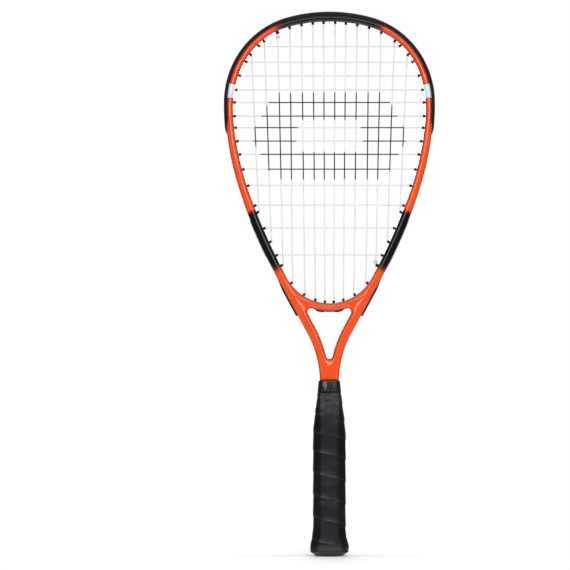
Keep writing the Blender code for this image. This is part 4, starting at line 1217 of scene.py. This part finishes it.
def string_loops(legs, tie_in, tie_out):
    """Loops before, between and after the legs. A transfer lies over the others."""
    loops = [Loop("transfer", tie_in, legs[0].start)]
    for before, after in zip(legs, legs[1:]):
        kind = before.kind if before.kind == after.kind else "transfer"
        loops.append(Loop(kind, before.end, after.start))
    return loops + [Loop("transfer", legs[-1].end, tie_out)]


def knot(grommet, crossing):
    """Turns of the string's end round the main that shares its hole, from the mouth inwards."""
    mouth = raised(grommet.mouth(), -TIE_SIDE)
    along = unit(raised(*crossing) - mouth)
    across = np.cross(along, DEEP)
    turns = KNOT_TURNS * np.arange(1, KNOT_STEPS + 1)[:, None] / KNOT_STEPS
    angle = 2 * math.pi * turns
    swing = KNOT_RADIUS * (across * np.sin(angle) + DEEP * np.cos(angle))
    return mouth + along * (KNOT_START + KNOT_PITCH * turns) + swing


def string_route():
    """The whole string from knot to knot: a loop outside the frame, a leg inside, and so on."""
    tie_in, tie_out = MAIN_BOTTOMS[TIE_MAIN], MAIN_TOPS[-TIE_MAIN]
    legs = string_legs()
    loops = string_loops(legs, tie_in, tie_out)
    first = knot(tie_in, crossings("main", TIE_MAIN, tie_in.tip)[0])
    last = knot(tie_out, crossings("main", -TIE_MAIN, tie_out.tip)[0])
    route = [*first[::-1], raised(tie_in.mouth(), TIE_SIDE)]
    for loop, leg in zip(loops, [*legs, None]):
        depths = [-TIE_SIDE if hole.tie else 0.0 for hole in (loop.start, loop.end)]
        if loop is loops[0]:
            depths[0] = TIE_SIDE
        if loop is loops[-1]:
            depths[1] = TIE_SIDE
        route += loop.points(loop.lane(loops), *depths)
        if leg:
            route += leg.points()
    route += [raised(tie_out.mouth(), TIE_SIDE), *last]
    return np.array(route)


def build_string(finish, diameter):
    """Round tube along the smooth route: at each point the ring is r (cos t side + sin t up).

    The side stands square to the path and to the depth axis, which the path crosses nowhere but in the knots,
    so there it stands square to the knot's own axis instead.
    """
    route = string_route()
    lengths = np.linalg.norm(np.diff(route, axis=0), axis=1)
    counts = np.ceil(lengths / np.where(lengths > LONG_STRETCH, LONG_STEP, SHORT_STEP)).astype(int)
    path = hermite(route, counts)
    tangent = unit(np.gradient(path, axis=0))
    places = np.concatenate([[0], np.cumsum(counts)])
    side = unit(np.cross(tangent, DEEP))
    for part, axis in (
        (slice(0, places[KNOT_STEPS]), route[0] - route[KNOT_STEPS]),
        (slice(places[-KNOT_STEPS], None), route[-1] - route[-KNOT_STEPS - 1]),
    ):
        side[part] = unit(np.cross(tangent[part], unit(axis)))
    up = np.cross(side, tangent)
    turn = np.linspace(0.0, 2 * math.pi, STRING_SIDES, endpoint=False)
    ring = np.cos(turn)[:, None] * side[:, None] + np.sin(turn)[:, None] * up[:, None]
    thick = np.ones(len(path))
    thick[[0, -1]] = 0.0
    thick[[1, -2]] = KNOT_TIP_SHARE
    points = path[:, None] + diameter / 2 * thick[:, None, None] * ring
    surface = Surface()
    surface.grid(points, around=True)
    return surface.piece("string_bed", finish, merge=0.002, sharp=80.0)


# Grip


def octagon_rows(heights, half_width, half_depth, corner, rounding, arc=4, flat=4):
    """Rows of rounded octagons, each counter-clockwise from the front's middle.

    Side k faces the angle 45 k degrees at the distance h from the middle. Two neighbours drawn in by the
    rounding meet at a point, and round it runs the arc of that radius from one side's angle to the next.
    """
    heights, half_width, half_depth, corner, rounding = np.broadcast_arrays(
        *(np.asarray(value, float) for value in (heights, half_width, half_depth, corner, rounding))
    )
    slant = (half_width + half_depth - corner) / math.sqrt(2.0)
    reach = [half_width, slant, half_depth, slant] * 2
    eighth = 2 * math.pi / len(reach)
    front = len(reach) * 3 // 4
    rows = []
    for side in (*range(front, len(reach)), *range(front)):
        angle = side * eighth
        facing = np.array([math.cos(angle), math.sin(angle)])
        along = np.array([-facing[1], facing[0]])
        near, far = reach[side] - rounding, reach[(side + 1) % len(reach)] - rounding
        beyond = (far - near * math.cos(eighth)) / math.sin(eighth)
        middle = near[:, None] * facing + beyond[:, None] * along
        turn = angle + np.linspace(0.0, eighth, arc + 1)
        ring = np.stack([np.cos(turn), np.sin(turn)], axis=1)
        rows.append(middle[:, None] + rounding[:, None, None] * ring)
    rows = np.stack(rows, axis=1)
    following = np.roll(rows[:, :, :1], -1, axis=1)
    share = (np.arange(1, flat + 1) / (flat + 1))[:, None]
    flats = rows[:, :, -1:] + share * (following - rows[:, :, -1:])
    ring = np.concatenate([rows, flats], axis=2).reshape(len(heights), -1, 2)
    ring = np.roll(ring, (flat + 1) // 2, axis=1)
    return np.concatenate([ring, np.broadcast_to(heights[:, None, None], (*ring.shape[:2], 1))], axis=2)


def grip_sizes(z):
    """Half width, half depth and corner cut of the tape at heights."""
    return [np.interp(z, GRIP_Z, values) for values in (GRIP_HALF_WIDTH, GRIP_HALF_DEPTH, GRIP_CORNER)]


def build_tape(finish, seam_height):
    """Wound tape: the rounded octagon swollen by a profile that repeats up each turn of a helix.

    A row at turn t and a column at share a of the way round lie at the height H(t - a), H being the seam's
    height by turns, and are swollen by the profile at the fraction of t. The last column joins the first one
    turn lower. Heights past the tape's ends are held there, where the surface closes in. The value facing is
    0 on the four slanted sides and 1 on the others.
    """
    fraction, swell, worn = np.array(SEAM_PROFILE).T
    row_turn = (np.array(WOUND_TURNS)[:, None] + fraction).ravel()
    row_swell = np.tile(swell, len(WOUND_TURNS)) * seam_height / swell.max()
    flat = octagon_rows([GRIP_MIDDLE_Z], *([size] for size in grip_sizes(GRIP_MIDDLE_Z)), GRIP_ROUNDING)[0]
    steps = np.linalg.norm(np.diff(np.concatenate([flat, flat[:1]]), axis=0), axis=1)
    around = np.concatenate([[0.0], np.cumsum(steps)])[:-1] / steps.sum()
    height = np.interp(row_turn[:, None] - around, SEAM_TURNS, SEAM_HEIGHTS)
    rows, columns = height.shape
    inside = ((height > TAPE_BOTTOM) & (height < TAPE_TOP)).ravel()
    height = np.clip(height, TAPE_BOTTOM, TAPE_TOP).ravel()
    near_end = np.minimum(height - TAPE_BOTTOM, TAPE_TOP - height)
    grow = np.repeat(row_swell, columns) - TAPE_END_DRAWN * (1.0 - quarter_round(near_end / TAPE_END_ROUND))
    width, depth, corner = grip_sizes(height)
    width, depth = width + grow, depth + grow
    rings = octagon_rows(height, width, depth, corner + grow * (2 - math.sqrt(2)), GRIP_ROUNDING)
    points = rings[np.arange(rows * columns), np.tile(np.arange(columns), rows)]
    from_side, from_front = width - np.abs(points[:, 0]), depth - np.abs(points[:, 1])
    facing = smooth(FACET_BLEND - np.minimum(from_side, from_front))
    index = np.arange(rows * columns).reshape(rows, columns)
    upper, lower = index[len(fraction):, -1], index[:-len(fraction), 0]
    joins = np.stack([upper[:-1], lower[:-1], lower[1:], upper[1:]], axis=1)
    faces = np.concatenate([grid_faces(rows, columns), joins])
    surface = Surface("worn", "facing")
    worn = np.repeat(np.tile(worn, len(WOUND_TURNS)), columns)
    surface.add(points, faces[inside[faces].any(axis=1)], worn, facing)
    made = surface.piece("grip_tape_wound", finish, merge=0.02, sharp=60.0)
    shell = made.modifiers.new("tape thickness", "SOLIDIFY")
    shell.thickness = TAPE_THICKNESS * MM
    shell.offset = -1.0
    return made


def build_band(finish):
    """Finishing band: thin glossy tape wound where the grip meets the shaft, with two folds in its front.

    A row stands over z + t sin(a) at the angle a round the band. A fold lifts the front by
    h (1 - (1 - s)^2) exp(-((x - c) / w)^2), where s runs from 0 at its top to 1.
    """
    z, width, depth, loose = np.array(BAND_ROWS).T
    rows = octagon_rows(z, width, depth, BAND_CORNER, BAND_ROUNDING, arc=BAND_ARC, flat=BAND_FLAT)
    share = np.clip((FOLD_TOP - rows[..., 2]) / FOLD_LENGTH, 0.0, 1.0)
    lift = sum(rise * np.exp(-(((rows[..., 0] - x) / wide) ** 2)) for x, wide, rise in FOLDS)
    lift = lift * (1.0 - (1.0 - share) ** 2) * smooth(BAND_FRONT - rows[..., 1]) * (loose[:, None] > 0)
    turned = np.arctan2(rows[..., 1], rows[..., 0])
    rows[..., 1] -= lift
    rows[..., 2] += BAND_TILT * loose[:, None] * np.sin(turned)
    surface = Surface()
    surface.grid(rows, around=True, along=True)
    return surface.piece("finishing_tape_band", finish, sharp=45.0)


def build_cap(finish):
    """Butt cap: chamfered foot with a shallow octagonal panel, and the skirt that the tape covers."""
    z, width, depth, corner = np.array(CAP_ROWS).T
    rounding = np.minimum(CAP_ROUNDING, width * CAP_ROUNDING_SHARE)
    surface = Surface()
    surface.grid(octagon_rows(z, width, depth, corner, rounding), around=True)
    return surface.piece("butt_cap_skin", finish, merge=0.05, sharp=35.0)


def build_tack(finish):
    """Tack that pins the start of the tape: a domed head on a tapered shank, turned round the depth axis."""
    surface = Surface()
    add_turned(surface, TACK_CROWN, -DEEP, ACROSS, UPWARD, TACK_PROFILE, hollow=False)
    return surface.piece("grip_tack", finish, merge=0.003)


# Finishes

BLACK_TOP_END = OUTER.hit(np.array([BLACK_TOP_X, SIDE_STRIP_END_Z]), UP)
BLACK_FLANK = OUTER.run_at_height(np.array(BLACK_FLANK_Z))
WHITE_BLOCK = OUTER.run_at_height(np.array(WHITE_BLOCK_Z))


def lacquer_finish(colours):
    """Clear-coated paint: orange, black at the top and on the lower flanks, with a white block on each side.

    The black is sprayed over the orange through maroon. Maroon is also painted on as shade: painted shade
    along the edges and on the rim beside the guard, and a painted shadow on the shaft's start under the band.
    """
    made = Finish(
        "orange_black_lacquer", colours.orange, roughness=0.4,
        Specular_IOR_Level=0.05, Coat_Weight=1.0, Coat_Roughness=0.07,
    )
    run = made.value("run")
    rim = made.value("rim")
    speckle = made.noise(scale=900.0, detail=2.0)
    wander = made.line(speckle, SPRAY_WANDER, made.math("ADD", run, -SPRAY_WANDER / 2))
    top = made.step(wander, BLACK_TOP_END + TOP_FADE, BLACK_TOP_END - TOP_FADE)
    (start, end), (start_fade, end_fade) = BLACK_FLANK, FLANK_FADES
    starts = made.step(wander, start - start_fade, start + start_fade)
    flank = made.times(starts, made.step(wander, end + end_fade, end - end_fade))
    black = made.most(top, flank)
    # Painted shade: maroon mixed in near the edges and on the rim beside the guard, standing in for light
    # falling off there.
    beside_guard = made.step(run, *(GUARD_END + along for along in RIM_PAINTED_SHADE_ENDS))
    edge = made.times(made.step(made.value("inset"), *EDGE_PAINTED_SHADE), EDGE_SHARE)
    rim_painted_shade = made.times(made.step(rim, *RIM_PAINTED_SHADE), beside_guard, RIM_SHARE)
    edge = made.most(edge, rim_painted_shade)
    # Painted shadow: maroon on the shaft just under the band, by height.
    edge = made.most(edge, made.step(made.axes()[2], *(z * MM for z in BAND_PAINTED_SHADOW_Z)))
    shade = made.mix(edge, colours.orange, colours.maroon)
    to_maroon, to_black = made.step(black, *TO_MAROON), made.step(black, *TO_BLACK)
    shade = made.mix(to_maroon, shade, colours.maroon)
    shade = made.mix(to_black, shade, colours.black)
    for line, ink in ((BLOCK_LINE, scaled(colours.maroon, 0.5)), (0.0, colours.white)):
        start, end = WHITE_BLOCK + (-line, line)
        starts = made.step(run, start - BLOCK_EDGE, start + BLOCK_EDGE)
        block = made.times(starts, made.step(run, end + BLOCK_EDGE, end - BLOCK_EDGE))
        shade = made.mix(block, shade, ink)
    made.join("Base Color", shade)
    made.bump(made.noise(scale=160.0, detail=1.0), strength=0.02, distance=0.1)
    return made.material


def nylon_finish(colours):
    made = Finish("black_nylon", colours.nylon, roughness=0.42, Specular_IOR_Level=0.18)
    grain = made.noise(scale=700.0, detail=5.0, roughness=0.6)
    made.join("Roughness", made.spread(grain, low=0.36, high=0.56))
    made.join("Base Color", made.mix(grain, colours.nylon, scaled(colours.nylon, 1.7)))
    made.bump(grain, strength=0.25, distance=0.06)
    return made.material


def string_finish(colours):
    """White synthetic string with an inked motif: a wide six-sided ring across the middle of the strings."""
    made = Finish("white_string", colours.string, roughness=0.28)
    x, _, z = made.axes()
    wide = made.math("ABSOLUTE", x)
    high = made.math("ABSOLUTE", made.math("SUBTRACT", z, INK_CENTRE * MM))
    speckle = made.noise(scale=350.0, detail=3.0)
    ragged = made.line(speckle, 2 * INK_RAGGED * MM, -INK_RAGGED * MM)

    def hexagon(half_width, half_height):
        aside = made.math("SUBTRACT", made.line(high, HEX_SLANT, wide), half_width * MM)
        over = made.math("SUBTRACT", high, half_height * MM)
        away = made.math("ADD", made.most(aside, over), ragged)
        return made.step(away, INK_SOFT * MM, -INK_SOFT * MM)

    ink = made.times(hexagon(*INK_OUTER), made.math("SUBTRACT", 1.0, hexagon(*INK_INNER)))
    made.join("Base Color", made.mix(ink, colours.string, colours.ink))
    made.join("Roughness", made.spread(ink, low=0.28, high=0.6))
    return made.material


def tape_finish(colours):
    """Matt cushioned tape, with fine grain, worn patches, paler seams and painted shade on its slanted sides.
    """
    made = Finish("grip_tape", colours.tape, roughness=0.45, Specular_IOR_Level=0.15)
    x, _, z = made.axes()
    facing = made.value("facing")
    patchy = made.step(made.noise(scale=90.0, detail=4.0, roughness=0.6), low=0.35, high=0.65)
    held_side = made.spread(x, *WORN_LEFT_SHARES, *(place * MM for place in WORN_LEFT))
    topmost = made.step(z, *(place * MM for place in WORN_TOP))
    worn = made.times(made.value("worn"), held_side, patchy)
    worn = made.times(worn, made.line(topmost, slope=0.5, start=0.6))
    butt = made.times(made.step(z, *(place * MM for place in WORN_BUTT)), BUTT_SHARE)
    cloudy = made.noise(scale=38.0, detail=5.0, roughness=0.65, stretch=(0.7, 0.7, 1.6))
    smudged = made.times(made.step(cloudy, low=0.48, high=0.72), SMUDGE_SHARE)
    high = made.times(topmost, made.line(made.step(cloudy, low=0.38, high=0.58), slope=0.4, start=0.1))
    scuffed = made.most(made.most(worn, butt), made.math("ADD", smudged, high))
    scuffed = made.times(scuffed, made.line(facing, slope=0.85, start=0.15))
    # Painted shade: the slanted sides, where facing is 0, are painted darker than the front and back.
    shade = made.mix(facing, scaled(colours.tape, SLANT_PAINTED_SHADE), colours.tape)
    made.join("Base Color", made.mix(scuffed, shade, colours.scuff))
    made.join("Roughness", made.spread(cloudy, low=0.36, high=0.52))
    made.bump(made.noise(scale=1500.0, detail=6.0, roughness=0.6), strength=0.3, distance=0.12)
    made.bump(made.noise(scale=120.0, detail=3.0), strength=0.35, distance=0.4)
    return made.material


def band_finish(colours):
    made = Finish("finishing_tape", colours.band, roughness=0.14)
    ripple = made.noise(scale=60.0, detail=3.0, stretch=(1.0, 1.0, 6.0))
    made.join("Roughness", made.spread(ripple, low=0.10, high=0.2))
    made.bump(ripple, strength=0.012, distance=0.3)
    return made.material


def rubber_finish(colours):
    made = Finish("butt_rubber", colours.rubber, roughness=0.5)
    grain = made.noise(scale=500.0, detail=5.0, roughness=0.6)
    made.join("Base Color", made.mix(grain, colours.rubber, scaled(colours.rubber, 1.6)))
    made.join("Roughness", made.spread(grain, low=0.42, high=0.6))
    made.bump(grain, strength=0.2, distance=0.08)
    return made.material


def foam_finish(colours):
    made = Finish("handle_foam", colours.foam, roughness=0.85)
    cells = made.node("ShaderNodeTexVoronoi", {"Vector": made.place, "Scale": 1400.0}).outputs["Distance"]
    made.join("Base Color", made.mix(cells, scaled(colours.foam, 0.7), colours.foam))
    made.bump(cells, strength=0.5, distance=0.2)
    return made.material


def steel_finish(colours):
    made = Finish("fastener_steel", colours.steel, roughness=0.3, Metallic=1.0)
    brushed = made.noise(scale=900.0, detail=3.0, stretch=(1.0, 0.1, 1.0))
    made.join("Roughness", made.spread(brushed, low=0.22, high=0.42))
    made.bump(brushed, strength=0.15, distance=0.03)
    return made.material


# Settings


def colour(name, words, value):
    return bpy.props.FloatVectorProperty(
        name=name, description=words, subtype="COLOR", size=3, min=0.0, max=1.0, default=value
    )


def length(name, words, value, **limits):
    return bpy.props.FloatProperty(
        name=name, description=words, subtype="DISTANCE", unit="LENGTH", default=value, **limits
    )


def power(name, words, value):
    return bpy.props.FloatProperty(
        name=name, description=words, subtype="POWER", unit="POWER", min=0.0, default=value
    )


def strength(name, words, value):
    return bpy.props.FloatProperty(
        name=name, description=words, subtype="FACTOR", min=0.0, soft_max=1.0, default=value
    )


class RacketSizes(bpy.types.PropertyGroup):
    """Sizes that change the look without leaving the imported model's space."""

    string_gauge: length("String gauge", "Diameter of the string", 0.00125, min=0.001, max=0.0014)
    seam_height: length(
        "Seam height", "Rise of the grip tape's lapped edge over the turn below", 0.00036, min=0.0, max=0.0008
    )


class RacketColours(bpy.types.PropertyGroup):
    """Colours of the finishes."""

    orange: colour("Orange", "Main lacquer of the frame", (0.80, 0.075, 0.0095))
    # Maroon is also painted shade along the frame's edges and beside the guard, and painted shadow under the
    # band.
    maroon: colour("Maroon", "Where the orange is sprayed over with black", (0.13, 0.008, 0.006))
    black: colour("Black", "Lacquer at the top of the head and on the lower flanks", (0.003, 0.003, 0.0035))
    white: colour("White", "Block on each side of the head", (0.683, 0.70, 0.771))
    nylon: colour("Nylon", "Bumper guard and grommet strips", (0.0075, 0.0075, 0.0085))
    string: colour("String", "White synthetic string", (0.770, 0.785, 0.795))
    ink: colour("Ink", "Motif printed on the strings", (0.008, 0.008, 0.009))
    tape: colour("Grip tape", "Cushioned tape", (0.0073, 0.0070, 0.0101))
    scuff: colour("Scuffs", "Worn places of the grip tape", (0.10, 0.098, 0.112))
    band: colour("Finishing band", "Glossy tape above the grip", (0.006, 0.006, 0.007))
    rubber: colour("Butt cap", "Rubber of the butt cap", (0.016, 0.016, 0.018))
    foam: colour("Foam", "Moulded halves inside the grip", (0.45, 0.40, 0.28))
    steel: colour("Steel", "Staples and tack", (0.55, 0.55, 0.56))


class RacketStudio(bpy.types.PropertyGroup):
    """Camera and light."""

    distance: length("Camera distance", "From the lens to the racket", 4.0, min=1.5)
    key: power("Key light", "Power of the front and the back diffuser", 34.5)
    side: power("Side light", "Power of each side diffuser", 50.0)
    softbox: power("Softbox", "Power of each long softbox", 25.0)
    room: strength("Room light", "Strength of the light from above", 0.55)
    low: strength("Low light", "Strength of the light from below", 0.2)
    floor: colour("Floor", "Pale floor the racket stands on", (0.97, 0.97, 0.97))


# Steps


class FrameStep(bpy.types.Operator):
    """Build the lacquered frame's skin"""

    bl_idname = "racket.frame"
    bl_label = "Frame"

    def execute(self, context):
        mount(build_frame(lacquer_finish(context.scene.racket_colours)), "lacquer", "frame")
        return {"FINISHED"}


class GuardStep(bpy.types.Operator):
    """Build the bumper guard over the top of the head"""

    bl_idname = "racket.guard"
    bl_label = "Bumper guard"

    def execute(self, context):
        mount(build_guard(nylon_finish(context.scene.racket_colours)), "nylon", "bumper_guard")
        return {"FINISHED"}


class StripStep(bpy.types.Operator):
    """Build the side, lower and bridge grommet strips"""

    bl_idname = "racket.strips"
    bl_label = "Grommet strips"

    def execute(self, context):
        finish = nylon_finish(context.scene.racket_colours)
        for node, strip in build_strips(finish).items():
            mount(strip, "nylon", node)
        mount(build_bridge_strip(finish), "nylon", "bridge_grommet_strip")
        return {"FINISHED"}


class StringStep(bpy.types.Operator):
    """Weave the string through its grommets"""

    bl_idname = "racket.string"
    bl_label = "String"

    def execute(self, context):
        gauge = context.scene.racket_sizes.string_gauge / MM
        mount(build_string(string_finish(context.scene.racket_colours), gauge), "string", "string")
        return {"FINISHED"}


class TapeStep(bpy.types.Operator):
    """Wind the grip tape"""

    bl_idname = "racket.tape"
    bl_label = "Grip tape"

    def execute(self, context):
        seam = context.scene.racket_sizes.seam_height / MM
        mount(build_tape(tape_finish(context.scene.racket_colours), seam), "grip_tape", "base_grip_tape")
        return {"FINISHED"}


class BandStep(bpy.types.Operator):
    """Wind the finishing band at the top of the grip"""

    bl_idname = "racket.band"
    bl_label = "Finishing band"

    def execute(self, context):
        mount(build_band(band_finish(context.scene.racket_colours)), "finishing_tape", "finishing_tape")
        return {"FINISHED"}


class CapStep(bpy.types.Operator):
    """Build the butt cap"""

    bl_idname = "racket.cap"
    bl_label = "Butt cap"

    def execute(self, context):
        mount(build_cap(rubber_finish(context.scene.racket_colours)), "butt_rubber", "butt_cap")
        return {"FINISHED"}


class CoreStep(bpy.types.Operator):
    """Build the tack, and finish the hidden pallets and staples"""

    bl_idname = "racket.core"
    bl_label = "Handle core"

    def execute(self, context):
        colours = context.scene.racket_colours
        foam, steel = foam_finish(colours), steel_finish(colours)
        mount(build_tack(steel), "fastener_steel", "grip_start_tack")
        for name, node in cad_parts.items():
            finish = foam if "pallet" in name else steel if "staple" in name else None
            if finish:
                for slot in node.material_slots:
                    slot.material = finish
        return {"FINISHED"}


class StageStep(bpy.types.Operator):
    """Lay the floor and set the lights and the camera"""

    bl_idname = "racket.stage"
    bl_label = "Stage"

    def execute(self, context):
        studio = context.scene.racket_studio
        build_floor(studio)
        build_world(context.scene, studio)
        build_lights(context.scene, studio)
        build_camera(context.scene, studio)
        context.scene.view_settings.view_transform = "Standard"
        return {"FINISHED"}


class RacketPanel(bpy.types.Panel):
    """Steps and settings of the racket"""

    bl_idname = "RACKET_PT_build"
    bl_label = "Ricochet Racket"
    bl_space_type = "VIEW_3D"
    bl_region_type = "UI"
    bl_category = "Racket"

    def draw(self, context):
        for step in STEPS:
            self.layout.operator(step.bl_idname)
        for group in (context.scene.racket_sizes, context.scene.racket_colours, context.scene.racket_studio):
            box = self.layout.box()
            for name in group.__annotations__:
                box.prop(group, name)


STEPS = (FrameStep, GuardStep, StripStep, StringStep, TapeStep, BandStep, CapStep, CoreStep, StageStep)
GROUPS = (("racket_sizes", RacketSizes), ("racket_colours", RacketColours), ("racket_studio", RacketStudio))


# Stage


def build_floor(studio):
    """Round floor: r (cos t, sin t) at height 0.

    Near the racket it is plain and takes its shadow, and further out the camera sees it fade to white.
    """
    made = Finish("pale_floor", studio.floor, roughness=0.9, Specular_IOR_Level=0.1)
    reach = made.node("ShaderNodeVectorMath", (made.place,), operation="LENGTH").outputs["Value"]
    fade = made.step(reach, *FLOOR_FADE)
    rays = made.node("ShaderNodeLightPath").outputs
    seen = made.most(rays["Is Camera Ray"], rays["Is Glossy Ray"], rays["Is Transmission Ray"])
    glow = made.node("ShaderNodeEmission", {"Color": WHITE, "Strength": 1.0}).outputs[0]
    share = made.times(fade, seen)
    mixed = made.node("ShaderNodeMixShader", (share, made.shader.outputs[0], glow)).outputs[0]
    made.tree.links.new(mixed, made.tree.nodes["Material Output"].inputs["Surface"])
    turn = np.linspace(0.0, 2 * math.pi, FLOOR_SIDES, endpoint=False)
    radii = np.array(FLOOR_RINGS)[:, None]
    flat = np.stack([radii * np.cos(turn), radii * np.sin(turn)], axis=-1)
    surface = Surface()
    surface.grid(np.concatenate([flat, np.zeros((*flat.shape[:2], 1))], axis=-1), around=True)
    surface.piece("floor", made.material)


def build_world(scene, studio):
    """White to the camera, dim at the horizon of reflections, and as light brighter above than below."""
    world = bpy.data.worlds.new("studio_room")
    world.use_nodes = True
    tree = world.node_tree
    background = tree.nodes["Background"]
    place = add_node(tree, "ShaderNodeTexCoord").outputs["Generated"]
    up = add_node(tree, "ShaderNodeSeparateXYZ", (place,)).outputs["Z"]
    ramps = []
    for start, end, low, high in ((*LIGHT_FADE, studio.low, studio.room), (*MIRROR_FADE, DIM_HORIZON, 1.0)):
        inputs = {"Value": up, "From Min": start, "From Max": end, "To Min": low, "To Max": high}
        ramps.append(add_node(tree, "ShaderNodeMapRange", inputs, interpolation_type="SMOOTHSTEP").outputs[0])
    light, mirrored = ramps
    rays = add_node(tree, "ShaderNodeLightPath").outputs
    for ray, seen in (("Is Glossy Ray", mirrored), ("Is Transmission Ray", 1.0), ("Is Camera Ray", 1.0)):
        light = add_node(tree, "ShaderNodeMix", (rays[ray], None, light, seen)).outputs[0]
    background.inputs["Color"].default_value = WHITE
    tree.links.new(light, background.inputs["Strength"])
    scene.world = world


def build_lights(scene, studio):
    """In front and behind a broad diffuser and a long softbox over eye level, and a diffuser at each side."""
    for name, place, size, setting, mirrored in LAMPS:
        light = bpy.data.lights.new(name, "AREA")
        light.shape = "RECTANGLE"
        light.size, light.size_y = size
        light.energy = getattr(studio, setting)
        lamp = bpy.data.objects.new(name, light)
        lamp.visible_glossy = mirrored
        lamp.location = place
        lamp.rotation_euler = (LAMP_TARGET - Vector(place)).to_track_quat("-Z", "Y").to_euler()
        scene.collection.objects.link(lamp)


def build_camera(scene, studio):
    """Long lens straight in front, aimed so that the racket stands right of the picture's middle."""
    lens = bpy.data.cameras.new("camera")
    lens.sensor_width = SENSOR
    lens.lens = SENSOR * studio.distance / (PICTURE_WIDTH * MM)
    lens.clip_end = CLIP_METRES
    camera = bpy.data.objects.new("camera", lens)
    camera.location = (PICTURE_X * MM, -studio.distance, PICTURE_Z * MM)
    camera.rotation_euler = (math.pi / 2, 0.0, 0.0)
    scene.collection.objects.link(camera)
    scene.camera = camera


# Registration and build


def register():
    for name, group in GROUPS:
        bpy.utils.register_class(group)
        setattr(bpy.types.Scene, name, bpy.props.PointerProperty(type=group))
    for kind in (*STEPS, RacketPanel):
        bpy.utils.register_class(kind)


def unregister():
    for kind in (RacketPanel, *reversed(STEPS)):
        bpy.utils.unregister_class(kind)
    for name, group in reversed(GROUPS):
        delattr(bpy.types.Scene, name)
        bpy.utils.unregister_class(group)


def main():
    register()
    bpy.ops.racket.frame()
    bpy.ops.racket.guard()
    bpy.ops.racket.strips()
    bpy.ops.racket.string()
    bpy.ops.racket.tape()
    bpy.ops.racket.band()
    bpy.ops.racket.cap()
    bpy.ops.racket.core()
    bpy.ops.racket.stage()
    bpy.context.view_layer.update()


if __name__ == "__main__":
    main()
